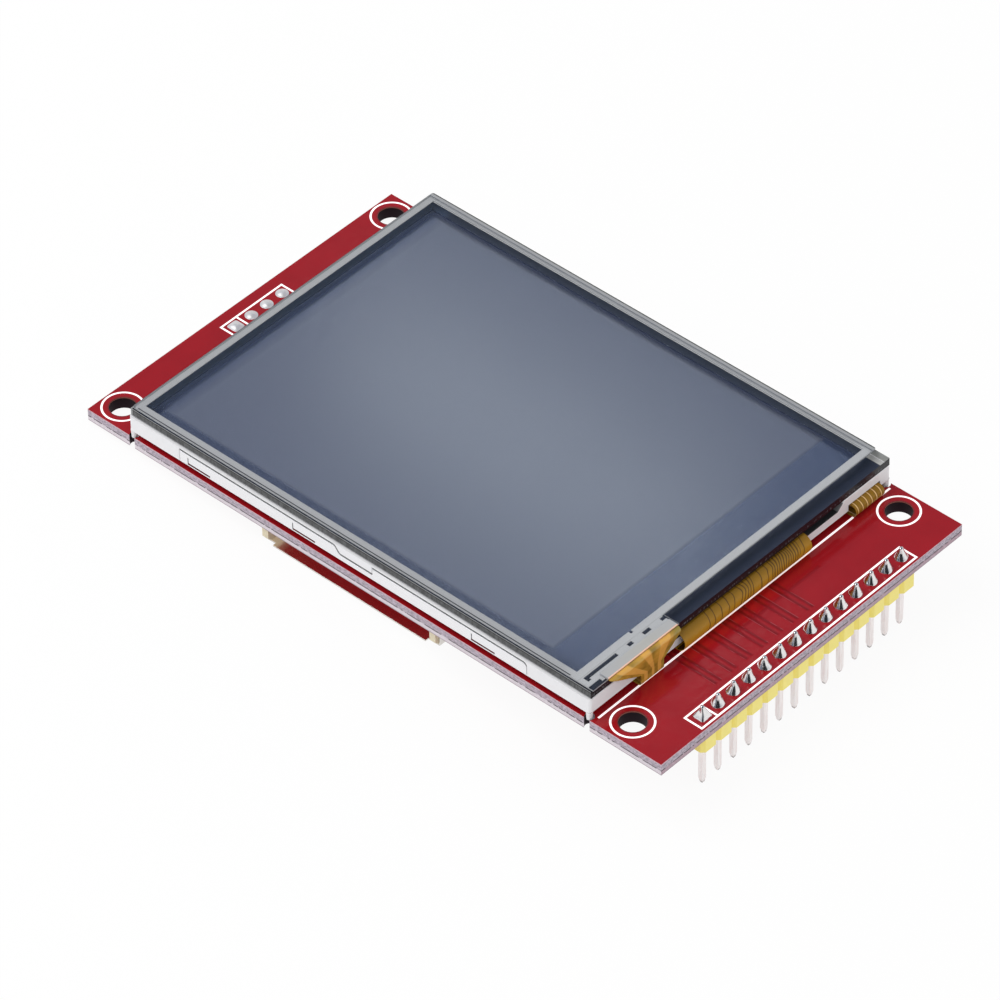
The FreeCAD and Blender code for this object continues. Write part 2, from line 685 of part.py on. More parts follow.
def backlight_flex():
    """The lamp strip along the end of the light guide, with its tail folded down to the board."""
    x0 = GUIDE_X1 + SHEET_CLEAR
    end = CAVITY_Y - STRIP_END_CLEAR
    strip = box(x0, POCKET_X1 - SHEET_CLEAR, -end, end, STRIP_Z, STRIP_Z + FLEX_THICK)
    fold = flex_fold(x0, STRIP_Z + FLEX_THICK / 2, FRAME_X1 + TAIL_FLEX_REACH,
                     BOARD_THICK + FLEX_THICK / 2, FRAME_X1 - FLEX_UNDER)
    return joined([strip, along_y(fold, TAIL_FLEX_Y0, TAIL_FLEX_Y1)])


def main_flex():
    """The wide flex of the panel, rolled over the low wall and soldered under the display."""
    fold = flex_fold(PANEL_X1 - MAIN_FLEX_BOND, FILTER_Z + FLEX_THICK / 2, FRAME_X1 + MAIN_FLEX_REACH,
                     BOARD_THICK + FLEX_THICK / 2, FRAME_X1 - MAIN_FLEX_TAIL)
    return along_y(fold, MAIN_FLEX_Y0, MAIN_FLEX_Y1)


def panel_sheet(x1, inset, z, thick):
    """A glass or polariser of the panel."""
    return box(PANEL_X0 + inset, x1 - inset, -PANEL_Y + inset, PANEL_Y - inset, z, z + thick)


def driver_chip():
    x = PANEL_X1 - CHIP_FROM_EDGE
    return box(x - CHIP_WIDTH / 2, x + CHIP_WIDTH / 2, -CHIP_LENGTH / 2, CHIP_LENGTH / 2,
               FILTER_Z, FILTER_Z + CHIP_THICK)


# Touch panel

def touch_mount_tape():
    """Black tape between the frame and the touch glass, wide over the panel's ledge."""
    outer = box(TOUCH_X0 + MOUNT_TAPE_INSET, TOUCH_X1 - MOUNT_TAPE_INSET, -TOUCH_Y + MOUNT_TAPE_INSET,
                TOUCH_Y - MOUNT_TAPE_INSET, FRAME_Z1, TOUCH_GLASS_Z)
    window = box(TOUCH_X0 + MOUNT_TAPE_SIDE, TOUCH_X1 - MOUNT_TAPE_END, -TOUCH_Y + MOUNT_TAPE_SIDE,
                 TOUCH_Y - MOUNT_TAPE_SIDE, FRAME_Z1, TOUCH_GLASS_Z)
    return outer.cut(window)


def touch_glass():
    glass = box(TOUCH_X0, TOUCH_X1, -TOUCH_Y, TOUCH_Y, TOUCH_GLASS_Z, RING_Z)
    rim = [edge for edge in glass.Edges if edge.BoundBox.ZMin > RING_Z - 1e-6]
    return glass.makeChamfer(GLASS_CHAMFER, rim)


def film_corners(inset, tab_x1):
    """Outline of the film and of the ring under it: a rectangle with a tab at the near right."""
    x0 = FILM_X0 + inset
    x1 = FILM_X1 - inset
    y0 = -FILM_Y + inset
    y1 = FILM_Y - inset
    corner = FILM_CORNER
    return [(x0, y0, corner), (tab_x1, y0, 0), (tab_x1, TAB_Y1 - inset, 0),
            (x1, TAB_Y1 - inset, 0), (x1, y1, corner), (x0, y1, corner)]


def touch_film():
    return plate(film_corners(0.0, FILM_TAB_X1), FILM_Z, FILM_Z + FILM_THICK)


def touch_ring():
    """The grey printed ring between film and glass, with the slots of the touch connection."""
    bond_x = TOUCH_X1 - TOUCH_FLEX_BOND
    ring = plate(film_corners(RING_INSET, TOUCH_X1 - RING_INSET), RING_Z, FILM_Z)
    near = -FILM_Y
    cuts = [box(FILM_X0 + RING_LEFT, FILM_X1 - RING_RIGHT, near + RING_NEAR, FILM_Y - RING_FAR,
                RING_Z, FILM_Z)]
    for low, high in SLOT_SPANS_Y:
        cuts.append(box(SLOT_X0, SLOT_X0 + SLOT_WIDTH, near + low, near + high, RING_Z, FILM_Z))
    low = SLOT_SPANS_Y[0][0]
    cuts.append(box(SLOT_X0, SLOT_X0 + SLOT_FOOT_WIDTH, near + low, near + low + SLOT_FOOT_HEIGHT,
                    RING_Z, FILM_Z))
    cuts.append(box(TOUCH_X1 - CORNER_SLOT_X, FILM_TAB_X1, near, near + CORNER_SLOT_Y, RING_Z, FILM_Z))
    nick = FILM_X1 - RING_RIGHT
    cuts.append(box(nick, nick + EDGE_NICK, near + EDGE_NICK_Y - EDGE_NICK / 2,
                    near + EDGE_NICK_Y + EDGE_NICK / 2, RING_Z, FILM_Z))
    cuts.append(box(bond_x - FIT_GAP, FILM_TAB_X1, TAB_Y0 - FIT_GAP, TAB_Y1, RING_Z, FILM_Z))
    return ring.cut(Part.makeCompound(cuts))


def touch_flex():
    """The touch connection: a wide head under the film's tab, narrowing to a neck at the board."""
    out = FRAME_X1 + TOUCH_FLEX_REACH
    upper = RING_Z + FLEX_THICK / 2
    lower = BOARD_THICK + FLEX_THICK / 2
    path = [(TOUCH_X1 - TOUCH_FLEX_BOND, upper, 0), (out, upper, TOUCH_FLEX_BEND),
            (out, lower, TOUCH_FLEX_BEND), (FRAME_X1 - FLEX_UNDER, lower, 0)]
    neck0 = TAB_Y0 + TOUCH_NECK_FROM_TAB
    neck1 = neck0 + TOUCH_NECK_WIDTH
    strip = along_y(ribbon(path, FLEX_THICK), TAB_Y0, TAB_Y1)
    shoulder = upper - TOUCH_HEAD_DEPTH
    waist = upper - TOUCH_NECK_DROP
    outline = [(TAB_Y0, FILM_Z, 0), (TAB_Y0, upper, 0), (neck0, waist, 0), (neck0, BOARD_THICK, 0),
               (neck1, BOARD_THICK, 0), (neck1, waist, 0), (TAB_Y1 - TOUCH_HEAD_INSET, shoulder, 0),
               (TAB_Y1 - TOUCH_HEAD_INSET, FILM_Z, 0)]
    return strip.common(along_x(outline, FRAME_X1 - FLEX_UNDER - OVERRUN, out + OVERRUN))


# Memory card socket

def contact_places():
    first = SOCKET_CENTRE_X - (CONTACTS - 1) * CONTACT_PITCH / 2
    return [first + index * CONTACT_PITCH for index in range(CONTACTS)]


def card_socket_base():
    """The cream moulding: two rails, a rear block and the carrier of the contacts."""
    inner_x0 = SOCKET_CENTRE_X - SLOT_HALF
    inner_x1 = SOCKET_CENTRE_X + SLOT_HALF
    block_y = SOCKET_Y1 - REAR_BLOCK
    outer_x0 = SOCKET_X0 + COVER_THICK
    outer_x1 = SOCKET_X1 - COVER_THICK
    pieces = [box(outer_x0, outer_x1, block_y, SOCKET_Y1, COVER_INNER_Z, 0),
              box(inner_x0, inner_x1, block_y - CARRIER_LENGTH, block_y, -CARRIER_THICK, 0)]
    for x0, x1 in ((outer_x0, inner_x0), (inner_x1, outer_x1)):
        front = SOCKET_Y0 - PRONG_LENGTH
        side = [(front, 0, 0), (front, COVER_INNER_Z + PRONG_CHAMFER, 0),
                (front + PRONG_CHAMFER, COVER_INNER_Z, 0), (block_y, COVER_INNER_Z, 0), (block_y, 0, 0)]
        pieces.append(along_x(side, x0, x1))
    base = joined(pieces)
    channels = []
    reach = CONTACT_WIDTH / 2 + CONTACT_CLEAR
    for x in contact_places():
        channels.append(box(x - reach, x + reach, block_y, SOCKET_Y1,
                            -CARRIER_THICK - CONTACT_THICK - CONTACT_CLEAR, 0))
    return base.cut(Part.makeCompound(channels))


def card_socket_contacts():
    """Nine sprung contacts, each with a tail that is soldered to the board."""
    block_y = SOCKET_Y1 - REAR_BLOCK
    tail_z = -CONTACT_THICK / 2
    arm_z = -CARRIER_THICK - CONTACT_THICK / 2
    tip_y = block_y - CARRIER_LENGTH
    step0, step1 = CONTACT_STEP_FROM_REAR
    path = [(SOCKET_Y1 + CONTACT_TAIL, tail_z, 0), (SOCKET_Y1 - step0, tail_z, 0),
            (SOCKET_Y1 - step1, arm_z, 0), (tip_y + CONTACT_SPRING_LENGTH, arm_z, 0),
            (tip_y + CONTACT_TIP_LENGTH, arm_z - CONTACT_SPRING, 0),
            (tip_y, arm_z - CONTACT_SPRING + CONTACT_TIP_RISE, 0)]
    outline = ribbon(path, CONTACT_THICK)
    return Part.makeCompound([along_x(outline, x - CONTACT_WIDTH / 2, x + CONTACT_WIDTH / 2)
                              for x in contact_places()])


def card_socket_cover():
    """The sheet-metal cover: a plate with folded sides, four lugs, a lip and two spring fingers."""
    y1 = SOCKET_Y1 - COVER_REAR_INSET
    inner0 = SOCKET_X0 + COVER_THICK
    inner1 = SOCKET_X1 - COVER_THICK
    bottom = -SOCKET_HEIGHT
    section = [(SOCKET_X0, bottom, COVER_THICK), (SOCKET_X1, bottom, COVER_THICK), (SOCKET_X1, 0, 0),
               (inner1, 0, 0), (inner1, COVER_INNER_Z, 0), (inner0, COVER_INNER_Z, 0), (inner0, 0, 0),
               (SOCKET_X0, 0, 0)]
    cover = along_y(section, SOCKET_Y0, y1)
    spans = [SOCKET_Y0, SOCKET_Y0 + LUG_FROM_FRONT, SOCKET_Y0 + LUG_FROM_FRONT + LUG_LENGTH,
             y1 - LUG_FROM_REAR - LUG_LENGTH, y1 - LUG_FROM_REAR, y1]
    cuts = []
    for low, high in zip(spans[0::2], spans[1::2]):
        cuts.append(box(SOCKET_X0, SOCKET_X1, low, high, -COVER_GAP_TO_BOARD, 0))
    for side in (-1, 1):
        x = SOCKET_CENTRE_X + side * FINGER_OFFSET_X
        y0 = SOCKET_Y0 + FINGER_FROM_FRONT
        outer = FINGER_WIDTH / 2 + FINGER_SLIT
        slot = box(x - outer, x + outer, y0, y0 + FINGER_LENGTH, bottom, COVER_INNER_Z)
        finger = box(x - FINGER_WIDTH / 2, x + FINGER_WIDTH / 2, y0 + FINGER_SLIT, y0 + FINGER_LENGTH,
                     bottom, COVER_INNER_Z)
        cuts.append(slot.cut(finger))
    cover = cover.cut(Part.makeCompound(cuts))
    lip = box(SOCKET_X0 + COVER_LIP_INSET, SOCKET_X1 - COVER_LIP_INSET, SOCKET_Y0 - COVER_LIP, SOCKET_Y0,
              bottom, COVER_INNER_Z)
    return joined([cover, lip])


# Small parts under the board

def moulded_body(at, size):
    """A package body with drafted sides, hanging under the board."""
    x, y = at
    length, width, height = size
    top = -BODY_STANDOFF
    stations = ((top - height, 2 * BODY_DRAFT), (top - height / 2, 0), (top, 2 * BODY_DRAFT))
    return stacked([level_rectangle(x, y, z, length - taper, width - taper) for z, taper in stations])


def gull_lead(at, size, span, side, y, width):
    """One bent lead, from the middle of the body's side down to the board."""
    x = at[0]
    inner = x + side * size[0] / 2
    outer = x + side * span / 2
    middle_z = -BODY_STANDOFF - size[2] / 2
    foot_z = -LEAD_THICK / 2
    knee = outer - side * LEAD_FOOT
    path = [(inner, middle_z, 0), (knee, middle_z, 0), (knee, foot_z, 0), (outer, foot_z, 0)]
    return along_y(ribbon(path, LEAD_THICK), y - width / 2, y + width / 2)


def controller_leads():
    first = CONTROLLER_AT[1] - (CONTROLLER_LEADS - 1) * CONTROLLER_LEAD_PITCH / 2
    leads = []
    for side in (-1, 1):
        for index in range(CONTROLLER_LEADS):
            leads.append(gull_lead(CONTROLLER_AT, CONTROLLER_BODY, CONTROLLER_SPAN, side,
                                   first + index * CONTROLLER_LEAD_PITCH, CONTROLLER_LEAD_WIDTH))
    return Part.makeCompound(leads)


def small_leads(at):
    """Three leads of a small package: two on one side and one on the other."""
    offsets = ((-1, -SMALL_LEAD_PITCH), (-1, SMALL_LEAD_PITCH), (1, 0))
    return Part.makeCompound([gull_lead(at, SMALL_BODY, SMALL_SPAN, side, at[1] + dy, SMALL_LEAD_WIDTH)
                              for side, dy in offsets])


def resistor_places():
    """Rows left and right of the controller, and one left of the card socket."""
    x, y = CONTROLLER_AT
    rows = ((x - ROW_LEFT_OF_CONTROLLER, y - ROW_BEFORE_CONTROLLER, RESISTORS_LEFT_OF_CONTROLLER),
            (x + ROW_RIGHT_OF_CONTROLLER, y - ROW_BEFORE_CONTROLLER, RESISTORS_RIGHT_OF_CONTROLLER),
            (SOCKET_X0 - ROW_LEFT_OF_SOCKET, SOCKET_ROW_Y, RESISTORS_BY_SOCKET))
    return [(row_x, start + index * RESISTOR_ROW_PITCH) for row_x, start, count in rows
            for index in range(count)]


def capacitor_places():
    """One past the controller, one in its right row, one at each small package, one by the socket."""
    x, y = CONTROLLER_AT
    row_end = y - ROW_BEFORE_CONTROLLER + (RESISTORS_RIGHT_OF_CONTROLLER - 1) * RESISTOR_ROW_PITCH
    before = REGULATOR_AT[1] - CAPACITOR_BEFORE_REGULATOR
    return [(x, y + CAPACITOR_PAST_CONTROLLER),
            (x + ROW_RIGHT_OF_CONTROLLER, row_end + CAPACITOR_PAST_ROW),
            (TRANSISTOR_AT[0] + CAPACITOR_RIGHT_OF_REGULATOR, before),
            (REGULATOR_AT[0] + CAPACITOR_RIGHT_OF_REGULATOR, before),
            (SOCKET_X0 - ROW_LEFT_OF_SOCKET, SOCKET_ROW_Y + RESISTOR_ROW_PITCH + CAPACITOR_PAST_SOCKET_ROW)]


def chip_bodies(places, height):
    """Ceramic bodies of chip parts, each between its two metal ends."""
    half = CHIP_PART[0] / 2 - CHIP_PART_CAP
    width = CHIP_PART[1] / 2
    return Part.makeCompound([box(x - half, x + half, y - width, y + width, -height, -CAP_RIM)
                              for x, y in places])


def chip_ends(places, height):
    """Metal ends of chip parts, soldered flat to the board."""
    ends = []
    for x, y in places:
        for side in (-1, 1):
            x0, x1 = sorted((x + side * (CHIP_PART[0] / 2 - CHIP_PART_CAP), x + side * CHIP_PART[0] / 2))
            width = CHIP_PART[1] / 2 + CAP_RIM
            ends.append(box(x0, x1, y - width, y + width, -height - CAP_RIM, 0))
    return Part.makeCompound(ends)


def all_parts():
    parts = {
        "circuit_board": circuit_board(),
        "header_strip": header_strip(),
        "header_solder": header_solder(),
        "card_pad_solder": card_pad_solder(),
        "foam_tape": foam_tape(),
        "rear_tray": rear_tray(),
        "backlight_frame": backlight_frame(),
        "reflector_sheet": light_sheet(REFLECTOR_Z, REFLECTOR_THICK),
        "light_guide": light_sheet(GUIDE_Z, GUIDE_THICK),
        "diffuser_sheet": light_sheet(DIFFUSER_Z, DIFFUSER_THICK),
        "lower_prism_sheet": light_sheet(LOWER_PRISM_Z, PRISM_THICK),
        "upper_prism_sheet": light_sheet(UPPER_PRISM_Z, PRISM_THICK),
        "rim_tape": rim_tape(),
        "backlight_lamps": backlight_lamps(),
        "backlight_flex": backlight_flex(),
        "rear_polariser": panel_sheet(FILTER_X1, POLARISER_INSET, REAR_POLARISER_Z, POLARISER_THICK),
        "array_glass": panel_sheet(PANEL_X1, 0.0, ARRAY_Z, PANEL_GLASS_THICK),
        "colour_filter_glass": panel_sheet(FILTER_X1, 0.0, FILTER_Z, PANEL_GLASS_THICK),
        "front_polariser": panel_sheet(FILTER_X1, POLARISER_INSET, FRONT_POLARISER_Z, POLARISER_THICK),
        "driver_chip": driver_chip(),
        "main_flex": main_flex(),
        "touch_mount_tape": touch_mount_tape(),
        "touch_glass": touch_glass(),
        "touch_ring": touch_ring(),
        "touch_film": touch_film(),
        "touch_flex": touch_flex(),
        "card_socket_base": card_socket_base(),
        "card_socket_cover": card_socket_cover(),
        "card_socket_contacts": card_socket_contacts(),
        "touch_controller_body": moulded_body(CONTROLLER_AT, CONTROLLER_BODY),
        "touch_controller_leads": controller_leads(),
        "regulator_body": moulded_body(REGULATOR_AT, SMALL_BODY),
        "regulator_leads": small_leads(REGULATOR_AT),
        "transistor_body": moulded_body(TRANSISTOR_AT, SMALL_BODY),
        "transistor_leads": small_leads(TRANSISTOR_AT),
        "chip_resistors": chip_bodies(resistor_places(), RESISTOR_HEIGHT),
        "resistor_ends": chip_ends(resistor_places(), RESISTOR_HEIGHT),
        "chip_capacitors": chip_bodies(capacitor_places(), CAPACITOR_HEIGHT),
        "capacitor_ends": chip_ends(capacitor_places(), CAPACITOR_HEIGHT),
    }
    for number, (x, y) in enumerate(header_places(), start=1):
        parts["header_pin_%02d" % number] = header_pin(x, y)
    return parts


def main():
    os.makedirs("parts", exist_ok=True)
    for name, shape in all_parts().items():
        solids = shape.Solids
        shape = solids[0] if len(solids) == 1 else Part.makeCompound(solids)
        if not shape.isValid():
            raise ValueError(name + " is not a valid solid")
        shape.exportStep(os.path.join("parts", name + ".step"))
        print(name, len(solids), round(shape.Volume, 3))


main()
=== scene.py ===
"""Looks of the colour display module: finishes, printed lines, solder, flexes and the stage."""

import json
import math
import random

import bpy
import bmesh
from mathutils import Matrix, Vector, noise


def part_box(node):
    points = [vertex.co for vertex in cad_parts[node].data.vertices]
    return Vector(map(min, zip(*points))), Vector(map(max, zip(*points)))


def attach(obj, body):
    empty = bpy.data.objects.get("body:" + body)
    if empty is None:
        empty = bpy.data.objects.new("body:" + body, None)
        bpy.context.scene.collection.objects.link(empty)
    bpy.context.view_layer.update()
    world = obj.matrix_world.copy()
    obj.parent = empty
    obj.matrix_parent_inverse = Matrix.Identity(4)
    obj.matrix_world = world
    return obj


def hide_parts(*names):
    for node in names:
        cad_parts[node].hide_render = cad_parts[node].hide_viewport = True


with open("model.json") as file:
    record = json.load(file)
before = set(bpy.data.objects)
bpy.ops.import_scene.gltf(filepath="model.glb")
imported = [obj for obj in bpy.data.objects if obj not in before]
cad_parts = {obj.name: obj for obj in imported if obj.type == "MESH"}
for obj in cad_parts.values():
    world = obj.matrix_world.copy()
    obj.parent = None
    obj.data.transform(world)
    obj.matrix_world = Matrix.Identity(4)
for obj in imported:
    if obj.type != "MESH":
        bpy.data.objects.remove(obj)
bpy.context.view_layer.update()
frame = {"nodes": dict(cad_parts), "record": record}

bl_info = {
    "name": "Display Module Looks",
    "version": (1, 0, 0),
    "blender": (4, 5, 0),
    "location": "3D View > Sidebar > Display",
    "description": "Finishes and fine detail of a colour display module on a red circuit board",
    "category": "Object",
}

MM = 0.001
BODY = "root"
BLACK = (0.0, 0.0, 0.0)
WHITE = (1.0, 1.0, 1.0)


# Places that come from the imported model, in millimetres

def box_mm(node):
    """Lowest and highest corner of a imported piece."""
    low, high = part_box(node)
    return low / MM, high / MM


BOARD_LOW, BOARD_HIGH = box_mm("circuit_board")
BOARD_TOP = BOARD_HIGH.z
MOUNTS = {mount["name"]: mount for mount in frame["record"]["mounts"]}
HOLES = MOUNTS["corner_holes"]["dims"]
HOLE_X = HOLES["spacing_x_mm"] / 2
HOLE_Y = HOLES["spacing_y_mm"] / 2
HOLE_R = HOLES["hole_r_mm"]


def centre_mm(node):
    low, high = box_mm(node)
    return (low + high) / 2


PIN_NODES = sorted(name for name in frame["nodes"] if name.startswith("header_pin_"))
PIN_CENTRES = [centre_mm(name) for name in PIN_NODES]
PIN_X = PIN_CENTRES[0].x
PIN_PITCH = PIN_CENTRES[1].y - PIN_CENTRES[0].y
CARD_PAD_X = -HOLE_X
DISPLAY_X = (box_mm("backlight_frame")[0].x, box_mm("backlight_frame")[1].x)


# Shader building

class Value:
    """An output socket that takes Python's arithmetic and adds the nodes for it."""

    def __init__(self, finish, socket):
        self.finish = finish
        self.socket = socket

    def output(self, name):
        """Another output of the node that this value comes from."""
        return Value(self.finish, self.socket.node.outputs[name])

    def math(self, operation, *others):
        inputs = dict(enumerate((self,) + others))
        return self.finish.node("ShaderNodeMath", {"operation": operation}, inputs)

    def __add__(self, other):
        return self.math("ADD", other)

    def __radd__(self, other):
        return self.math("ADD", other)

    def __sub__(self, other):
        return self.math("SUBTRACT", other)

    def __rsub__(self, other):
        return self.finish.node("ShaderNodeMath", {"operation": "SUBTRACT"}, {0: other, 1: self})

    def __mul__(self, other):
        return self.math("MULTIPLY", other)

    def __rmul__(self, other):
        return self.math("MULTIPLY", other)

    def __truediv__(self, other):
        return self.math("DIVIDE", other)

    def __abs__(self):
        return self.math("ABSOLUTE")

    def hypot(self, other):
        return (self * self + other * other).math("SQRT")

    def either(self, other):
        return self.math("MAXIMUM", other)

    def both(self, other):
        return self.math("MINIMUM", other)

    def above(self, edge, soft):
        """0 below the edge and 1 above it, over a soft step."""
        return self.finish.node("ShaderNodeMapRange", {"clamp": True},
                                {"Value": self, "From Min": edge - soft / 2, "From Max": edge + soft / 2})

    def below(self, edge, soft):
        return 1 - self.above(edge, soft)

    def between(self, low, high, soft):
        middle = (low + high) / 2
        return abs(self - middle).below((high - low) / 2, soft)

    def repeated(self, first, pitch):
        """Distance from the nearest line of an endless row of lines."""
        shifted = (self - (first - pitch / 2)) / pitch
        return shifted.math("FRACT") * pitch - pitch / 2


class Nodes:
    """A node tree, of a material or of the world, that is filled from Python values."""

    def __init__(self, tree):
        self.tree = tree
        tree.nodes.clear()

    def fill(self, socket, value):
        if isinstance(value, Value):
            self.tree.links.new(value.socket, socket)
        elif hasattr(value, "__len__") and len(socket.default_value) == 4 and len(value) == 3:
            socket.default_value = (*value, 1.0)
        else:
            socket.default_value = value

    def node(self, kind, settings, inputs, output=0):
        """A node of any kind: its settings first, then the values or links of its sockets."""
        made = self.tree.nodes.new(kind)
        for name, value in settings.items():
            setattr(made, name, value)
        for key, value in inputs.items():
            self.fill(made.inputs[key], value)
        return Value(self, made.outputs[output])

    def mix(self, factor, first, second):
        """One colour turning into another."""
        return self.node("ShaderNodeMix", {"data_type": "RGBA"}, {0: factor, 6: first, 7: second}, output=2)

    def glow(self, kind, colour):
        """A shader that only shines: an Emission or a Background of strength 1."""
        return self.node(kind, {}, {"Color": colour, "Strength": 1.0})


class Finish(Nodes):
    """One material, built on a Principled shader, with its object's position in millimetres."""

    def __init__(self, name):
        self.material = bpy.data.materials.new(name)
        self.material.use_nodes = True
        self.material.cycles.emission_sampling = "NONE"
        super().__init__(self.material.node_tree)
        self.shader = self.tree.nodes.new("ShaderNodeBsdfPrincipled")
        self.out = self.tree.nodes.new("ShaderNodeOutputMaterial")
        self.tree.links.new(self.shader.outputs[0], self.out.inputs[0])
        self.place = None

    def position(self):
        """x, y and z of the surface in millimetres."""
        if self.place is None:
            point = self.node("ShaderNodeTexCoord", {}, {}).output("Object")
            scaled = self.node("ShaderNodeVectorMath", {"operation": "SCALE"}, {0: point, "Scale": 1 / MM})
            split = self.node("ShaderNodeSeparateXYZ", {}, {0: scaled})
            self.place = scaled, split.output("X"), split.output("Y"), split.output("Z")
        return self.place[1:]

    def point(self):
        self.position()
        return self.place[0]

    def normal(self):
        """x, y and z of the surface's own normal."""
        facing = self.node("ShaderNodeNewGeometry", {}, {}).output("True Normal")
        split = self.node("ShaderNodeSeparateXYZ", {}, {0: facing})
        return split.output("X"), split.output("Y"), split.output("Z")

    def level(self):
        """1 on faces that lie level and 0 on upright ones."""
        _, _, up = self.normal()
        return abs(up).above(0.5, 0.2)

    def uneven(self, colour, darkest, mask):
        """A colour that darkens by one factor where the mask is 0."""
        return self.mix(mask, [channel * darkest for channel in colour], colour)

    def stretched(self, x, y, z):
        """The position, stretched by one factor along each axis."""
        return self.node("ShaderNodeVectorMath", {"operation": "MULTIPLY"}, {0: self.point(), 1: (x, y, z)})

    def noise(self, scale, detail=2.0, roughness=0.5, vector=None):
        inputs = {"Vector": vector or self.point(), "Scale": scale, "Detail": detail, "Roughness": roughness}
        return self.node("ShaderNodeTexNoise", {"noise_dimensions": "3D"}, inputs)

    def specks(self, spacing, radius, share):
        """Small round specks, scattered on a jittered grid; share is how many of the cells have one."""
        inputs = {"Vector": self.point(), "Scale": 1 / spacing}
        cells = self.node("ShaderNodeTexVoronoi", {"feature": "F1"}, inputs)
        chosen = self.node("ShaderNodeSeparateColor", {}, {0: cells.output("Color")}).output("Red")
        return cells.output("Distance").below(radius / spacing, radius / spacing) * chosen.below(share, 0.01)

    def bump(self, height, strength, distance):
        """A bump whose height is in millimetres."""
        return self.node("ShaderNodeBump", {}, {"Height": height, "Strength": strength,
                                                "Distance": distance * MM})

    def set(self, **sockets):
        """Sockets of the shader, by name with underscores for spaces."""
        for name, value in sockets.items():
            self.fill(self.shader.inputs[name.replace("_", " ")], value)

    def rectangle(self, x, y, x0, x1, y0, y1, soft):
        return x.between(x0, x1, soft).both(y.between(y0, y1, soft))

    def outline(self, x, y, x0, x1, y0, y1, width, soft):
        """A printed rectangle line whose outer size is given."""
        outer = self.rectangle(x, y, x0, x1, y0, y1, soft)
        inner = self.rectangle(x, y, x0 + width, x1 - width, y0 + width, y1 - width, soft)
        return outer * (1 - inner)


def dress(node, finish):
    """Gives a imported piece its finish."""
    mesh = frame["nodes"][node].data
    mesh.materials.clear()
    mesh.materials.append(finish.material)


WELD_REACH = 0.002
CLEAR_INSET = 0.02
BEVEL_SEGMENTS = 2
SHARP_ANGLE = 35


def joined_skin(node):
    """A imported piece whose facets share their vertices, so that the next modifier sees one skin."""
    piece = frame["nodes"][node]
    weld = piece.modifiers.new("one_skin", "WELD")
    weld.merge_threshold = WELD_REACH * MM
    return piece


def stand_clear(node):
    """Draws a clear piece in by a hair, so that its faces don't lie in the faces of its neighbours."""
    inset = joined_skin(node).modifiers.new("clear_of_neighbours", "DISPLACE")
    inset.strength = -CLEAR_INSET * MM
    inset.mid_level = 0.0


def soften(node, width):
    """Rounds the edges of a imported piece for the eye, with its own mesh as it was."""
    bevel = joined_skin(node).modifiers.new("worn_edges", "BEVEL")
    bevel.width = width * MM
    bevel.segments = BEVEL_SEGMENTS
    bevel.limit_method = "ANGLE"
    bevel.angle_limit = math.radians(SHARP_ANGLE)
    bevel.use_clamp_overlap = True


# Mesh building

def piece_from(name, bm, finish, replaced):
    """Turns a bmesh in millimetres into a finished piece that stands in for a packed one."""
    bmesh.ops.scale(bm, vec=(MM, MM, MM), verts=bm.verts)
    bmesh.ops.recalc_face_normals(bm, faces=bm.faces)
    mesh = bpy.data.meshes.new(name)
    bm.to_mesh(mesh)
    bm.free()
    for polygon in mesh.polygons:
        polygon.use_smooth = True
    piece = bpy.data.objects.new(name, mesh)
    bpy.context.scene.collection.objects.link(piece)
    mesh.materials.append(finish.material)
    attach(piece, BODY)
    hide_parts(replaced)


def skin(bm, rings):
    """Faces between closed rings of vertices that have equal counts."""
    count = len(rings[0])
    for low, high in zip(rings, rings[1:]):
        for index in range(count):
            after = (index + 1) % count
            bm.faces.new((low[index], low[after], high[after], high[index]))


# Properties

def colour_property(name, description, default):
    return bpy.props.FloatVectorProperty(name=name, description=description, subtype="COLOR", size=3,
                                         default=default, min=0, max=1)


# Board

class BoardLook(bpy.types.PropertyGroup):
    mask: colour_property("Mask", "Colour of the glossy solder mask", (0.355, 0.0078, 0.0125))
    edge: colour_property("Cut edge", "Colour of the bare glass fibre at the board's edge",
                          (0.56, 0.48, 0.56))
    print_colour: colour_property("Print", "Colour of the printed lines", (0.86, 0.84, 0.85))
    line_width: bpy.props.FloatProperty(
        name="Line width", description="Width of the printed lines", unit="LENGTH", default=0.24 * MM,
        min=0.05 * MM, max=1.0 * MM, precision=5)
    ring_diameter: bpy.props.FloatProperty(
        name="Ring diameter", description="Outer diameter of the ring printed round each mounting hole",
        unit="LENGTH", default=5.05 * MM, min=3.4 * MM, max=8.0 * MM, precision=5)


SILK_SOFT = 0.05
HEADER_BOX = (PIN_X - 1.29, PIN_X + 1.38, PIN_CENTRES[0].y - 1.61, PIN_CENTRES[-1].y + 1.24)
CARD_BOX = (CARD_PAD_X - 1.25, CARD_PAD_X + 6.0, -5.2, 4.98)
# Painted light: the printed lines glow a little so that they stay bright where they lie in shade.
PRINT_PAINTED_LIGHT = (1.0, 0.86, 0.88)
PRINT_PAINTED_LIGHT_STRENGTH = 0.7
HOLE_WALL = 0.15
HEADER_DIVIDER = 2.6
CARD_DIVIDER = 2.45
DISPLAY_LINE_FROM_FRAME = 0.33
DISPLAY_LINE_SPARE = 0.02
DISPLAY_LINES_Y = ((-24.1, 18.0), (22.9, 24.3))
CROSS_TRACK_X = (37.35, 37.75)
CROSS_TRACK_Y = (-4.0, 9.5)
PEG_NOTCH_DEPTH = 1.0
NOTCH_PAST_DISPLAY = 1.0
SEAM_BELOW_TOP = (0.97, 0.83)
TRACE_WIDTH = 0.36
TRACE_APART = 0.76
TRACES_X = (34.0, 41.2)
TRACES_Y = (-12.3, 4.7)


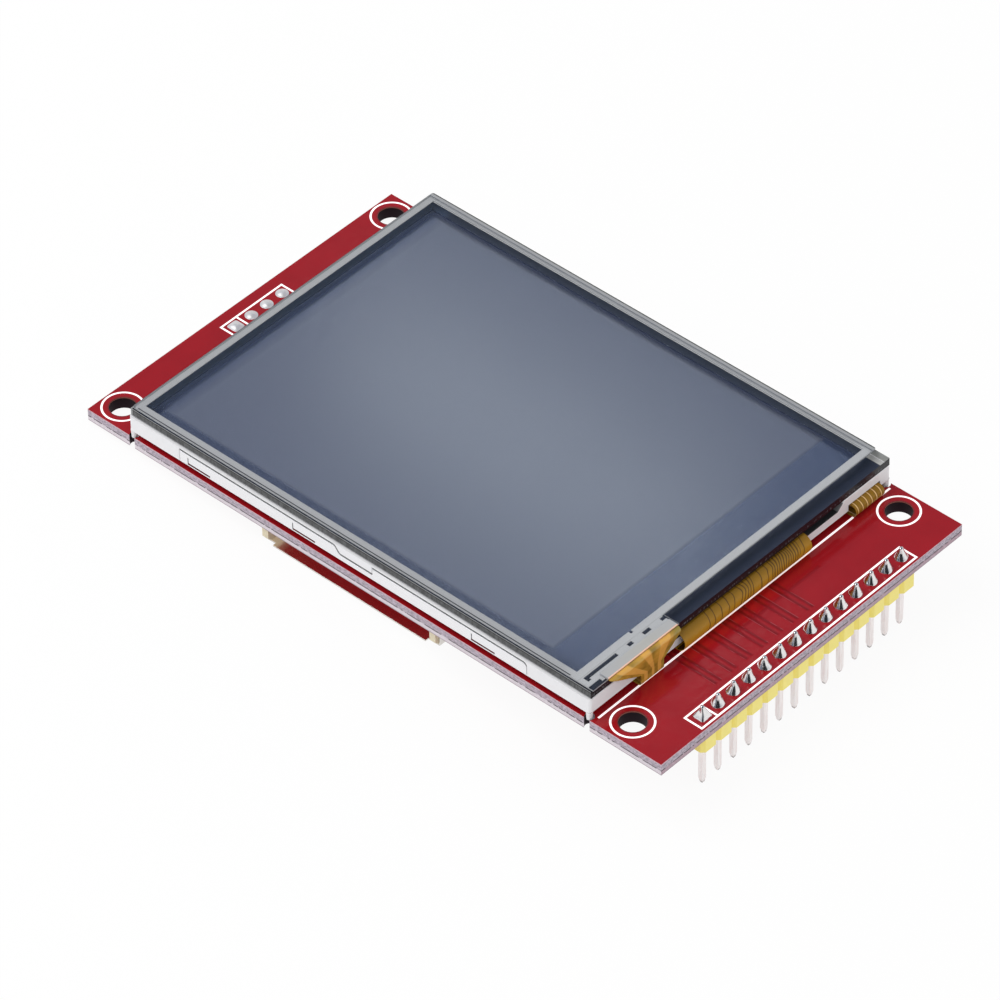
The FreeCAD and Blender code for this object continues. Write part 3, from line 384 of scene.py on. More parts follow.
def board_print(finish, x, y, look):
    """All white lines on the top face: hole rings, the two header boxes and the line at the display."""
    width = look.line_width / MM
    ring = look.ring_diameter / MM / 2
    away = (abs(x) - HOLE_X).hypot(abs(y) - HOLE_Y)
    lines = away.between(ring - width, ring, SILK_SOFT)
    for x0, x1, y0, y1 in (HEADER_BOX, CARD_BOX):
        lines = lines.either(finish.outline(x, y, x0, x1, y0, y1, width, SILK_SOFT))
    for (x0, x1, y0, _), apart in ((HEADER_BOX, HEADER_DIVIDER), (CARD_BOX, CARD_DIVIDER)):
        lines = lines.either(finish.rectangle(x, y, x0, x1, y0 + apart, y0 + apart + width, SILK_SOFT))
    x0 = DISPLAY_X[1] + DISPLAY_LINE_FROM_FRAME
    for y0, y1 in DISPLAY_LINES_Y:
        lines = lines.either(finish.rectangle(x, y, x0, x0 + width + DISPLAY_LINE_SPARE, y0, y1, SILK_SOFT))
    return lines


def board_traces(finish, x, y):
    """Tracks from the display to the header: dark bands, pale lines and brighter red fields between."""
    reach = x.between(*TRACES_X, 0.3).both(y.between(*TRACES_Y, 0.1))
    across = y.repeated(PIN_CENTRES[2].y, PIN_PITCH)
    apart = abs(across) - TRACE_APART / 2
    worn = finish.noise(1.0, 2.0, 0.6, finish.stretched(0.45, 1.4, 1.0))
    cross = x.between(*CROSS_TRACK_X, 0.2).both(y.between(*CROSS_TRACK_Y, 0.3)) * 0.45
    bands = (abs(apart).below(TRACE_WIDTH / 2, 0.22) * reach * (0.45 + worn)).either(cross)
    pale = abs(apart - TRACE_WIDTH / 2).below(0.03, 0.06) * reach * worn.above(0.52, 0.1)
    fields = abs(across).above(0.62, 0.15) * reach * x.below(TRACES_X[0] + 3.2, 1.6) * worn.above(0.45, 0.2)
    return bands, pale, fields


def board_finish(look):
    finish = Finish("red_board")
    x, y, z = finish.position()
    right, _, up = finish.normal()
    flat = abs(up).above(0.5, 0.2)
    top = up.above(0.5, 0.2)
    from_hole = (abs(x) - HOLE_X).hypot(abs(y) - HOLE_Y)
    in_hole = from_hole.below(HOLE_R + HOLE_WALL, 0.02)
    along_display = x.between(DISPLAY_X[0] - NOTCH_PAST_DISPLAY, DISPLAY_X[1] + NOTCH_PAST_DISPLAY, 0.01)
    at_pegs = abs(y).between(BOARD_HIGH.y - PEG_NOTCH_DEPTH, BOARD_HIGH.y - 0.01, 0.01) * along_display
    lines = board_print(finish, x, y, look) * top
    bands, pale, fields = board_traces(finish, x, y)
    mask = finish.mix(finish.noise(0.35, 1.0).above(0.5, 0.5), look.mask, [c * 0.9 for c in look.mask])
    mask = finish.mix(fields * top * 0.5, mask, (0.50, 0.008, 0.010))
    mask = finish.mix(bands * top * 0.62, mask, [c * 0.36 for c in look.mask])
    mask = finish.mix(pale * top * 0.35, mask, (0.60, 0.16, 0.18))
    mask = finish.mix(finish.specks(1.9, 0.075, 0.16) * top * 0.8, mask, (0.80, 0.55, 0.55))
    mask = finish.mix(from_hole.below(HOLE_R + 0.14, 0.05) * 0.6, mask, (0.13, 0.025, 0.025))
    faces = finish.mix(lines, mask, look.print_colour)
    # Painted shade: the walls of the mounting holes and of the peg notches are coloured near black.
    shaded_walls = in_hole.either(at_pegs)
    sides = board_sides(finish, z, right.above(0.5, 0.2), shaded_walls, look)
    finish.set(Base_Color=finish.mix(flat, sides, faces))
    finish.set(Metallic=shaded_walls * (1 - flat))
    finish.set(Roughness=0.14 + (1 - flat) * 0.5 + lines * 0.3, IOR=1.45, Specular_IOR_Level=0.45)
    # Painted light: the print glows so that it stays white in shade.
    finish.set(Emission_Color=finish.mix(lines, BLACK, PRINT_PAINTED_LIGHT), Emission_Strength=PRINT_PAINTED_LIGHT_STRENGTH)
    height = bands * top * 0.03 + lines * 0.02 + finish.noise(0.9, 1.0) * 0.014 * flat
    finish.set(Normal=finish.bump(height, 1.0, 1.0))
    return finish


def board_sides(finish, z, at_header, dark, look):
    """The bare fibre edge in its layers, and the walls of holes and peg notches painted near black as shade,
    with a thin brown lip.
    """
    fibres = finish.noise(1.0, 3.0, 0.75, finish.stretched(2.2, 2.2, 5.0)).above(0.5, 0.16)
    streaks = finish.noise(1.0, 2.0, 0.6, finish.stretched(1.5, 1.5, 0.25))
    low, high = (BOARD_TOP - depth for depth in SEAM_BELOW_TOP)
    seam = (z + streaks * 0.1).between(low, high, 0.05) * streaks.above(0.42, 0.05)
    under = finish.mix(at_header, (0.84, 0.78, 0.82), (0.46, 0.30, 0.35))
    edge = finish.uneven(look.edge, 0.55, fibres)
    edge = finish.mix(z.below(BOARD_TOP - 0.95, 0.1) * (0.8 - fibres * 0.3), edge, under)
    edge = finish.mix(z.above(BOARD_TOP - 0.13, 0.1) * 0.6, edge, (0.74, 0.45, 0.50))
    edge = finish.mix(z.below(BOARD_LOW.z + 0.12, 0.08) * 0.7, edge, (0.30, 0.22, 0.27))
    edge = finish.mix(seam * 0.92, edge, (0.030, 0.022, 0.030))
    # Painted shade on the hole and notch walls, with a brown lip at their top.
    hole_wall_shade = finish.mix(z.above(BOARD_TOP - 0.15, 0.08), (0.026, 0.015, 0.020), (0.34, 0.13, 0.10))
    return finish.mix(dark, edge, hole_wall_shade)


class DISPLAY_OT_board(bpy.types.Operator):
    """Red mask with its print and tracks, bare fibre edges and hole and notch walls painted dark as shade"""

    bl_idname = "display.board"
    bl_label = "Circuit Board"

    def execute(self, context):
        dress("circuit_board", board_finish(context.scene.board_look))
        return {"FINISHED"}


# Header and solder

class HeaderLook(bpy.types.PropertyGroup):
    moulding: colour_property("Moulding", "Colour of the header's plastic", (0.88, 0.77, 0.22))
    pin: colour_property("Pins", "Colour of the tinned pins", (0.93, 0.90, 0.90))
    solder: colour_property("Solder", "Colour of the bright solder", (0.84, 0.83, 0.83))
    solder_height: bpy.props.FloatProperty(
        name="Solder height", description="How far the solder climbs each pin above the board",
        unit="LENGTH", default=1.38 * MM, min=0.3 * MM, max=2.0 * MM, precision=5)


# Painted light: the yellow moulding glows faintly, standing in for light that passes through the translucent
# plastic.
MOULDING_PAINTED_GLOW = (0.80, 0.66, 0.12)
MOULDING_PAINTED_GLOW_STRENGTH = 0.12
WORN_TIP = 0.3
SOLDER_SIDES = 32
SOLDER_RINGS = 12
SOLDER_TIP_RADIUS = 0.22
PAD_RADIUS = 0.84
SOLDER_FOOT = 0.04
SOLDER_SUNK = 0.02
SOLDER_PEAK = 0.08
DOME_PROFILE = ((1.0, -0.02), (1.0, 0.035), (0.97, 0.05), (0.80, 0.06), (0.70, 0.10), (0.55, 0.17),
                (0.38, 0.23), (0.18, 0.27))


def solder_finish(look, name="bright_solder", metallic=1.0, dullness=0.08):
    finish = Finish(name)
    rough = finish.noise(2.6, 2.0)
    finish.set(Base_Color=finish.uneven(look.solder, 0.85, rough), Metallic=metallic,
               Roughness=dullness + rough * 0.12)
    finish.set(Normal=finish.bump(finish.noise(1.9, 1.0), 0.2, 0.15))
    return finish


def ring_directions(corner):
    """Directions round a ring as cosine, sine and reach; corner 2 is round, a higher one squarer."""
    directions = []
    for index in range(SOLDER_SIDES):
        angle = 2 * math.pi * index / SOLDER_SIDES
        c, s = math.cos(angle), math.sin(angle)
        directions.append((c, s, 1 / (abs(c) ** corner + abs(s) ** corner) ** (1 / corner)))
    return directions


def solder_joint(bm, centre, height, square, seed):
    """A slightly hollow cone from its pad to the tip of a pin, slumped to one side; square is 1 at pin 1."""
    rings = []
    lean = random.Random(seed)
    drift = Vector((lean.uniform(-0.06, 0.06), lean.uniform(-0.06, 0.06)))
    for step in range(SOLDER_RINGS + 1):
        climb = step / SOLDER_RINGS
        radius = SOLDER_TIP_RADIUS + (PAD_RADIUS - SOLDER_TIP_RADIUS) * (1 - climb) ** 1.3
        shift = drift * math.sin(math.pi * climb)
        ring = []
        for c, s, reach in ring_directions(2 + 5 * square * (1 - climb)):
            sag = 1 + 0.10 * noise.noise(Vector((c, s, climb + seed * 3.1))) * (1 - climb)
            ring.append(bm.verts.new((centre.x + shift.x + radius * reach * sag * c,
                                      centre.y + shift.y + radius * reach * sag * s,
                                      BOARD_TOP + SOLDER_FOOT + height * climb)))
        rings.append(ring)
    skin(bm, rings)
    base = [bm.verts.new((v.co.x, v.co.y, BOARD_TOP - SOLDER_SUNK)) for v in rings[0]]
    skin(bm, [base, rings[0]])
    bm.faces.new(base[::-1])
    peak = bm.verts.new((centre.x, centre.y, BOARD_TOP + SOLDER_FOOT + height + SOLDER_PEAK))
    top = rings[-1]
    for index in range(SOLDER_SIDES):
        bm.faces.new((top[index], top[(index + 1) % SOLDER_SIDES], peak))


class DISPLAY_OT_header(bpy.types.Operator):
    """Yellow moulding, tinned pins and a solder cone on each pin"""

    bl_idname = "display.header"
    bl_label = "Pin Header"

    def execute(self, context):
        look = context.scene.header_look
        dress("header_strip", self.moulding(look))
        soften("header_strip", 0.06)
        pin = self.pins(look)
        for node in PIN_NODES:
            dress(node, pin)
            soften(node, 0.07)
        bm = bmesh.new()
        for index, centre in enumerate(PIN_CENTRES):
            square = 1.0 if index == 0 else 0.0
            solder_joint(bm, centre, look.solder_height / MM, square, index)
        piece_from("solder_joints", bm, solder_finish(look), "header_solder")
        return {"FINISHED"}

    def moulding(self, look):
        finish = Finish("yellow_moulding")
        x, y, _ = finish.position()
        across = abs(y.repeated(PIN_CENTRES[0].y + PIN_PITCH / 2, PIN_PITCH))
        # Painted shade: the moulding is a little darker midway between pins, where the break-off grooves
        # lie.
        groove_shade = across.below(0.45, 0.12)
        colour = finish.mix(finish.noise(1.1, 2.0), look.moulding, [c * 0.93 for c in look.moulding])
        colour = finish.mix(groove_shade * 0.12, colour, (0.70, 0.55, 0.06))
        # The emission is painted light for the plastic's translucency.
        finish.set(Base_Color=colour, Roughness=0.38 + finish.noise(6.0) * 0.1,
                   Emission_Color=MOULDING_PAINTED_GLOW, Emission_Strength=MOULDING_PAINTED_GLOW_STRENGTH)
        finish.set(Normal=finish.bump(finish.noise(4.0, 2.0), 0.25, 0.05))
        return finish

    def pins(self, look):
        finish = Finish("tinned_pin")
        _, _, z = finish.position()
        grain = finish.noise(1.0, 3.0, 0.6, finish.stretched(7.0, 7.0, 0.5))
        foot = box_mm(PIN_NODES[0])[0].z
        warm = [channel * share for channel, share in zip(look.pin, (0.94, 0.88, 0.87))]
        colour = finish.mix(grain.above(0.5, 0.25), warm, look.pin)
        worn = z.below(foot + WORN_TIP, WORN_TIP) * finish.noise(3.0).above(0.47, 0.08)
        finish.set(Base_Color=finish.mix(worn * 0.8, colour, (0.16, 0.15, 0.15)),
                   Metallic=0.8, Roughness=0.28 + grain * 0.14)
        finish.set(Normal=finish.bump(grain, 0.3, 0.03))
        return finish


class DISPLAY_OT_card_pads(bpy.types.Operator):
    """Low solder domes on the four unused pads"""

    bl_idname = "display.card_pads"
    bl_label = "Unused Pads"

    def execute(self, context):
        bm = bmesh.new()
        low, high = box_mm("card_pad_solder")
        radius = (high.x - low.x) / 2
        first = low.y + radius
        count = round((high.y - low.y - 2 * radius) / PIN_PITCH) + 1
        for index in range(count):
            self.dome(bm, CARD_PAD_X, first + index * PIN_PITCH, radius, 6 if index == 0 else 2)
        dull = solder_finish(context.scene.header_look, "dull_solder", 0.55, 0.36)
        piece_from("card_pad_domes", bm, dull, "card_pad_solder")
        return {"FINISHED"}

    def dome(self, bm, x, y, radius, corner):
        """A thin flat pad with a shallow bead in its middle; corner 2 is round and 6 nearly square."""
        rings = []
        for share, height in DOME_PROFILE:
            ring = []
            for c, s, reach in ring_directions(2 + (corner - 2) * share):
                out = radius * share * reach
                ring.append(bm.verts.new((x + out * c, y + out * s, BOARD_TOP + height)))
            rings.append(ring)
        skin(bm, rings)
        bm.faces.new(rings[0][::-1])
        bm.faces.new(rings[-1])


# Display frame and tray

class FrameLook(bpy.types.PropertyGroup):
    moulding: colour_property("Moulding", "Colour of the white display frame", (0.84, 0.84, 0.86))
    tray: colour_property("Tray", "Colour of the bright metal tray", (0.88, 0.88, 0.90))
    foam: colour_property("Foam", "Colour of the foam tape", (0.80, 0.79, 0.76))


SEAM_FROM_SIDE = (0.25, 0.03)
SEAM_FROM_END = 0.8
SILL_REACH = 1.0


class DISPLAY_OT_frame(bpy.types.Operator):
    """White moulded frame, bright folded tray and the foam tape under them"""

    bl_idname = "display.frame"
    bl_label = "Display Frame"

    def execute(self, context):
        look = context.scene.frame_look
        dress("backlight_frame", self.moulding(look))
        soften("backlight_frame", 0.05)
        dress("rear_tray", self.tray(look))
        soften("rear_tray", 0.02)
        dress("foam_tape", self.foam(look))
        return {"FINISHED"}

    def moulding(self, look):
        """White plastic; the seam round the tray's walls and the sill under the glass lie in deep shade."""
        finish = Finish("white_moulding")
        x, y, z = finish.position()
        _, across, up = finish.normal()
        low, high = box_mm("backlight_frame")
        inner, outer = (high.y - inset for inset in SEAM_FROM_SIDE)
        seam = abs(y).between(inner, outer, 0.01) * abs(across).above(0.7, 0.1)
        seam = seam * x.between(low.x + SEAM_FROM_END, high.x - SEAM_FROM_END, 0.05)
        sill = up.above(0.7, 0.2) * x.above(high.x - SILL_REACH, 0.05) * z.below(high.z - 0.2, 0.1)
        colour = finish.mix(finish.noise(0.5), look.moulding, [c * 0.97 for c in look.moulding])
        colour = finish.mix(seam * 0.9, colour, (0.10, 0.10, 0.105))
        colour = finish.mix(sill * 0.97, colour, (0.008, 0.008, 0.010))
        finish.set(Base_Color=colour, Roughness=0.33 + finish.noise(3.0) * 0.12)
        finish.set(Normal=finish.bump(finish.noise(5.0, 2.0), 0.2, 0.04))
        return finish

    def tray(self, look):
        finish = Finish("bright_tray")
        rolled = finish.noise(1.0, 3.0, 0.6, finish.stretched(0.4, 6.0, 8.0))
        finish.set(Base_Color=finish.uneven(look.tray, 0.93, rolled), Metallic=1.0,
                   Roughness=0.2 + rolled * 0.12)
        finish.set(Normal=finish.bump(rolled, 0.2, 0.02))
        return finish

    def foam(self, look):
        finish = Finish("foam_tape")
        cells = finish.noise(7.0, 3.0, 0.7)
        finish.set(Base_Color=finish.uneven(look.foam, 0.8, cells), Roughness=0.9)
        finish.set(Normal=finish.bump(cells, 0.8, 0.08))
        return finish


# Backlight and panel

class PanelLook(bpy.types.PropertyGroup):
    picture_area: colour_property("Picture area", "Colour of the unlit pixels", (0.087, 0.097, 0.142))
    border: colour_property("Border", "Colour of the dark band round the picture area",
                            (0.006, 0.013, 0.052))
    end_border: colour_property("End border", "Colour of the wider band at the picture area's right end",
                                (0.026, 0.041, 0.100))
    gloss: bpy.props.FloatProperty(
        name="Satin", description="Roughness of the shine on the picture area", default=0.2, min=0.0,
        max=1.0)


PICTURE_AREA = (-32.05, 26.35, -21.5, 23.2)
END_BORDER_X = 31.2
DARK_END_X = 31.3
PLAIN_PIECES = (
    ("rear_polariser", (0.05, 0.06, 0.08), 0.25, 0.9),
    ("driver_chip", (0.012, 0.013, 0.018), 0.2, 0.9),
    ("rim_tape", (0.006, 0.006, 0.008), 0.5, 0.9),
    ("reflector_sheet", (0.86, 0.87, 0.88), 0.15, 0.97),
    ("light_guide", (0.82, 0.84, 0.85), 0.1, 0.97),
    ("diffuser_sheet", (0.83, 0.83, 0.83), 0.5, 0.96),
    ("lower_prism_sheet", (0.83, 0.83, 0.83), 0.5, 0.96),
    ("upper_prism_sheet", (0.83, 0.83, 0.83), 0.5, 0.96),
    ("backlight_lamps", (0.85, 0.80, 0.55), 0.4, 0.9),
)


class DISPLAY_OT_panel(bpy.types.Operator):
    """Panel glass, polarisers and everything that lies behind them"""

    bl_idname = "display.panel"
    bl_label = "Panel and Backlight"

    def execute(self, context):
        look = context.scene.panel_look
        dress("front_polariser", self.pixels(look))
        for node in ("array_glass", "colour_filter_glass"):
            self.plain(node, look.border, look.gloss, 0.95)
        for node, colour, roughness, darkest in PLAIN_PIECES:
            self.plain(node, colour, roughness, darkest)
        return {"FINISHED"}

    def plain(self, node, colour, roughness, darkest):
        """Gives a piece one slightly cloudy colour."""
        finish = Finish(node + "_finish")
        cloud = finish.noise(1.3, 2.0)
        finish.set(Base_Color=finish.uneven(colour, darkest, cloud), Roughness=roughness + cloud * 0.05)
        dress(node, finish)

    def pixels(self, look):
        finish = Finish("unlit_pixels")
        x, y, _ = finish.position()
        x0, x1, y0, y1 = PICTURE_AREA
        area = x.above(x0 + 0.5, 2.4).both(x.below(x1, 0.6)).both(y.between(y0, y1, 0.6))
        end = x.between(x1, END_BORDER_X, 0.5) * y.between(y0, y1, 1.2)
        end = end.either(x.below(x0 + 1.0, 1.0) * y.between(y0, y1, 1.2))
        border = finish.mix(end, look.border, look.end_border)
        border = finish.mix(x.above(DARK_END_X, 0.2), border, (0.002, 0.002, 0.004))
        colour = finish.mix(area, border, look.picture_area)
        colour = finish.mix(finish.specks(8.0, 0.07, 0.22) * 0.6, colour, (0.7, 0.7, 0.72))
        finish.set(Base_Color=colour, Roughness=look.gloss, IOR=2.3, Specular_Tint=(0.80, 0.90, 1.0))
        return finish


# Touch panel

class TouchLook(bpy.types.PropertyGroup):
    ring: colour_property("Ring", "Colour of the printed ring under the film", (0.375, 0.385, 0.395))
    haze: bpy.props.FloatProperty(
        name="Film haze", description="How milky the satin film is", default=0.012, min=0.0, max=1.0)
    tab: colour_property("Tab", "Colour of the film where it covers the touch connection",
                         (0.44, 0.445, 0.45))
    glass_edge: colour_property("Glass edge", "Colour of the cut edge of the touch glass",
                                (0.10, 0.103, 0.106))


BOND_LENGTH = 1.0
FILM_SETBACK = 1.9
HAIRLINE_INSET = 0.22
BLACK_LINE_X = (-33.4, 31.5)
GLASS_SKIN = 0.06
GLASS_RIM = 0.27
FILM_RIM = 0.54
FILM_RIM_LINE = 0.16
YELLOWED_TAB_Y = (-19.0, -13.5)
TAPE_END = Vector((31.5, 23.94))


class DISPLAY_OT_touch_panel(bpy.types.Operator):
    """Satin film, printed ring, clear glass and black tape of the touch panel"""

    bl_idname = "display.touch_panel"
    bl_label = "Touch Panel"

    def execute(self, context):
        look = context.scene.touch_look
        dress("touch_film", self.film(look))
        stand_clear("touch_film")
        dress("touch_ring", self.ring(look))
        dress("touch_glass", self.glass(look))
        stand_clear("touch_glass")
        dress("touch_mount_tape", self.tape())
        return {"FINISHED"}

    def film(self, look):
        """Clear satin film, grey over the touch connection and at its far rim; over the flex its cut edge
        has the flex's amber painted in as light, with painted shadow along its lower part.
        """
        finish = Finish("satin_film")
        x, y, z = finish.position()
        side = 1 - finish.level()
        low, high = box_mm("touch_film")
        bond_low, bond_high = box_mm("touch_flex")
        glass_end = box_mm("touch_glass")[1].x
        over_bond = y.between(bond_low.y, bond_high.y, 0.1)
        tab = x.above(glass_end - BOND_LENGTH - 0.02, 0.04).both(over_bond)
        tint = finish.mix(y.between(*YELLOWED_TAB_Y, 3.0) * 0.4, look.tab, (0.46, 0.45, 0.39))
        # Painted light and shadow: the film's end edge over the flex shows the flex's amber painted in, dark
        # below as the shadow under the edge.
        amber = finish.mix(z.above(low.z + 0.06, 0.04), (0.05, 0.025, 0.012), (0.95, 0.58, 0.40))
        # Painted light: the last strip of the tab's top takes the same amber from the flex.
        tint = finish.mix(x.above(high.x - 0.14, 0.06), tint, (0.90, 0.60, 0.44))
        rim = y.above(high.y - FILM_RIM, 0.05)
        rim_grey = finish.mix(y.above(high.y - FILM_RIM_LINE, 0.04), [c * 0.93 for c in look.ring],
                              (0.05, 0.05, 0.048))
        tint = finish.mix(rim, tint, rim_grey)
        tab = tab.either(rim)
        edge = finish.mix(y.above(high.y - 0.1, 0.05), (0.30, 0.31, 0.33), (0.055, 0.060, 0.055))
        edge = finish.mix(x.above(high.x - 0.1, 0.05) * over_bond, edge, amber)
        finish.set(Base_Color=finish.mix(side, finish.mix(tab, (0.60, 0.72, 0.95), tint), edge),
                   Alpha=look.haze + tab.either(side * 0.9) * (0.97 - look.haze), Roughness=0.25, IOR=1.5)
        return finish

    def ring(self, look):
        finish = Finish("printed_ring")
        x, y, _ = finish.position()
        colour = finish.uneven(look.ring, 0.94, finish.noise(0.8, 2.0))
        colour = finish.mix(x.above(31.0, 2.0), colour, [c * 1.2 for c in look.ring])
        film_end = box_mm("touch_glass")[1].x - FILM_SETBACK
        film_side = box_mm("touch_film")[1].y
        hairline = abs(x - (film_end - HAIRLINE_INSET)).below(0.02, 0.05) * 0.45
        front = abs(y + film_side - 1.5 * HAIRLINE_INSET).below(0.075, 0.05) * x.between(*BLACK_LINE_X, 0.1)
        hairline = hairline.either(front * 0.95)
        finish.set(Base_Color=finish.mix(hairline, colour, (0.012, 0.012, 0.014)), Roughness=0.5)
        return finish

    def glass(self, look):
        """Clear pane with a ground edge, nearly black at the flexes, and a grey rim on the left."""
        finish = Finish("touch_glass")
        x, y, z = finish.position()
        low, high = box_mm("touch_glass")
        rim = x.below(low.x + GLASS_RIM, 0.03)
        side = (1 - finish.level()).either(rim)
        hatching = finish.noise(1.0, 2.0, 0.6, finish.stretched(5.0, 5.0, 1.2))
        edge = finish.uneven(look.glass_edge, 0.45, hatching.above(0.5, 0.25))
        edge = finish.mix(z.above(high.z - 0.34, 0.1) * 0.9, edge, (0.012, 0.013, 0.014))
        # Painted highlight: a light line just under the top of the glass's cut edge.
        edge = finish.mix(z.between(high.z - 0.17, high.z - 0.09, 0.05) * 0.75, edge, (0.50, 0.51, 0.52))
        edge = finish.mix(z.below(low.z + 0.12, 0.06) * 0.8, edge, (0.34, 0.34, 0.35))
        flecks = hatching.above(0.58, 0.1) * z.between(low.z + 0.25, low.z + 0.5, 0.15)
        flecked = finish.mix(flecks, (0.010, 0.010, 0.013), (0.10, 0.11, 0.12))
        edge = finish.mix(x.above(high.x - GLASS_SKIN, 0.04), edge, flecked)
        edge = finish.mix(y.above(high.y - GLASS_SKIN, 0.04), edge, (0.50, 0.51, 0.49))
        edge = finish.mix(rim, edge, (0.27, 0.28, 0.285))
        finish.set(Base_Color=finish.mix(side, (0.30, 0.38, 0.45), edge), Alpha=0.012 + side * 0.98,
                   Roughness=0.06 + side * 0.2, IOR=1.52, Specular_IOR_Level=0.2)
        return finish

    def tape(self):
        """Black tape, apart from the white end that shows behind the panel's far corner."""
        finish = Finish("black_tape")
        x, y, _ = finish.position()
        black = finish.mix(finish.noise(2.0), (0.020, 0.028, 0.055), (0.026, 0.034, 0.064))
        black = finish.mix(x.below(-31.0, 1.0), black, (0.034, 0.054, 0.106))
        corner = y.above(TAPE_END.y, 0.04).both(x.above(TAPE_END.x, 0.04))
        finish.set(Base_Color=finish.mix(corner, black, (0.62, 0.62, 0.61)),
                   Roughness=0.35, Specular_IOR_Level=0.3)
        return finish


# Flexible circuits

class FlexLook(bpy.types.PropertyGroup):
    film: colour_property("Film", "Colour of the amber film over copper", (0.60, 0.305, 0.022))
    track: colour_property("Tracks", "Colour of the tracks of the touch connection", (0.80, 0.43, 0.085))
    gap: colour_property("Gaps", "Colour of the thin gaps between the main flex's copper fields",
                         (0.075, 0.036, 0.010))


GAP_SLANT = 0.30
GAP_SLANT_FROM_Z = 3.0
GAP_WANDER = 0.9
GAP_LINES_Y = (-6.6, -5.6, -4.6, -3.5, -2.5, 2.0, 3.1, 9.05)
FINE_GAPS = ((-1.25, 1.15, 0.5), (3.95, 8.4, 0.37))
TOUCH_BANDS = ((-0.78, -0.46), (-0.10, 0.13), (0.42, 0.74))
GOLD_LINE_Y = 18.35
GOLD_LINE_PITCH = 0.78
NECK_TOP = 3.2
NECK_Y = -15.6
NECK_HALF = 1.83


class DISPLAY_OT_flexes(bpy.types.Operator):
    """Amber flexes: the wide roll, the backlight's tail and the touch connection"""

    bl_idname = "display.flexes"
    bl_label = "Flexible Circuits"

    def execute(self, context):
        look = context.scene.flex_look
        dress("main_flex", self.roll(look))
        dress("backlight_flex", self.tail(look))
        dress("touch_flex", self.touch(look))
        return {"FINISHED"}

    def roll(self, look):
        """Copper fields with dark gaps between them: single ones and two fine groups, all on the slant; the
        upper part and the hollow end are painted darker as shade.
        """
        finish = Finish("wide_flex")
        x, y, z = finish.position()
        low, high = box_mm("main_flex")
        radius = (high.z - low.z) / 2
        from_axis = (x - (high.x - radius)).hypot(z - (low.z + radius))
        hollow_shade = from_axis.below(radius - 0.08, 0.04).both(x.above(high.x - radius, 0.1))
        slant = y - (z - GAP_SLANT_FROM_Z) * GAP_SLANT + (finish.noise(0.5, 1.0) - 0.5) * GAP_WANDER
        lines = abs(slant - GAP_LINES_Y[0]).below(0.07, 0.06)
        for place in GAP_LINES_Y[1:]:
            lines = lines.either(abs(slant - place).below(0.07, 0.06))
        for first, last, pitch in FINE_GAPS:
            fine = abs(slant.repeated(first, pitch)).below(0.08, 0.07)
            lines = lines.either(fine * slant.between(first - pitch / 2, last, 0.1))
        # Painted shade: the upper part of the roll is darkened.
        shade = (z - (low.z + high.z) / 2).above(0.55, 1.3)
        colour = finish.uneven(look.film, 0.85, finish.noise(0.6, 1.0))
        colour = finish.mix(shade * 0.7, colour, (0.15, 0.082, 0.010))
        colour = finish.mix(lines * 0.8, colour, look.gap)
        # Painted shade in the roll's hollow end.
        colour = finish.mix(hollow_shade * 0.85, colour, (0.045, 0.014, 0.004))
        finish.set(Base_Color=colour, Roughness=0.32 + lines * 0.1, Specular_IOR_Level=0.25)
        finish.set(Normal=finish.bump(lines * -0.02 + finish.noise(1.2, 1.0) * 0.03, 1.0, 1.0))
        return finish

    def tail(self, look):
        finish = Finish("backlight_tail")
        _, y, _ = finish.position()
        gold = abs(y.repeated(GOLD_LINE_Y, GOLD_LINE_PITCH))
        colour = finish.uneven([c * 0.6 for c in look.film], 0.7, finish.noise(0.9, 1.0))
        colour = finish.mix(gold.below(0.16, 0.1) * 0.5, colour, (0.10, 0.055, 0.010))
        colour = finish.mix(gold.below(0.07, 0.05), colour, (0.86, 0.55, 0.22))
        finish.set(Base_Color=colour, Roughness=0.3, Specular_IOR_Level=0.25)
        finish.set(Normal=finish.bump(gold.below(0.07, 0.05) * 0.02, 1.0, 1.0))
        return finish

    def touch(self, look):
        """Amber film with three wide copper bands that run from the head together into the neck, and painted
        shade in its creases.
        """
        finish = Finish("touch_tail")
        _, y, z = finish.position()
        low, high = box_mm("touch_flex")
        spread = z.above((NECK_TOP + high.z) / 2, high.z - NECK_TOP)
        middle = NECK_Y + spread * ((low.y + high.y) / 2 - NECK_Y)
        side = (y - middle) / (NECK_HALF + spread * ((high.y - low.y) / 2 - NECK_HALF))
        bands = side.between(*TOUCH_BANDS[0], 0.05)
        for first, last in TOUCH_BANDS[1:]:
            bands = bands.either(side.between(first, last, 0.05))
        creases_and_shade = finish.noise(1.0, 2.0, 0.5, finish.stretched(0.3, 0.5, 0.9))
        # Painted shade: the film is darker where the crease noise is low, in the valleys of its bumps.
        film = finish.mix(creases_and_shade.above(0.5, 0.3), (0.28, 0.18, 0.020), (0.58, 0.33, 0.045))
        colour = finish.mix(bands * 0.9, film, look.track)
        colour = finish.mix(side.above(0.86, 0.1) * 0.6, colour, (0.26, 0.23, 0.045))
        finish.set(Base_Color=colour, Roughness=0.26, Coat_Weight=0.3, Coat_Roughness=0.1)
        finish.set(Normal=finish.bump(bands * 0.03 + creases_and_shade * 0.22, 1.0, 1.0))
        return finish


# Card socket

class SocketLook(bpy.types.PropertyGroup):
    cover: colour_property("Cover", "Colour of the socket's plated cover", (0.76, 0.74, 0.70))
    moulding: colour_property("Moulding", "Colour of the socket's plastic", (0.80, 0.72, 0.52))


RED_MIRRORED = (0.085, 0.003, 0.004)
TAN_MIRRORED = (0.22, 0.18, 0.12)
RED_FROM_LEFT = 2.4


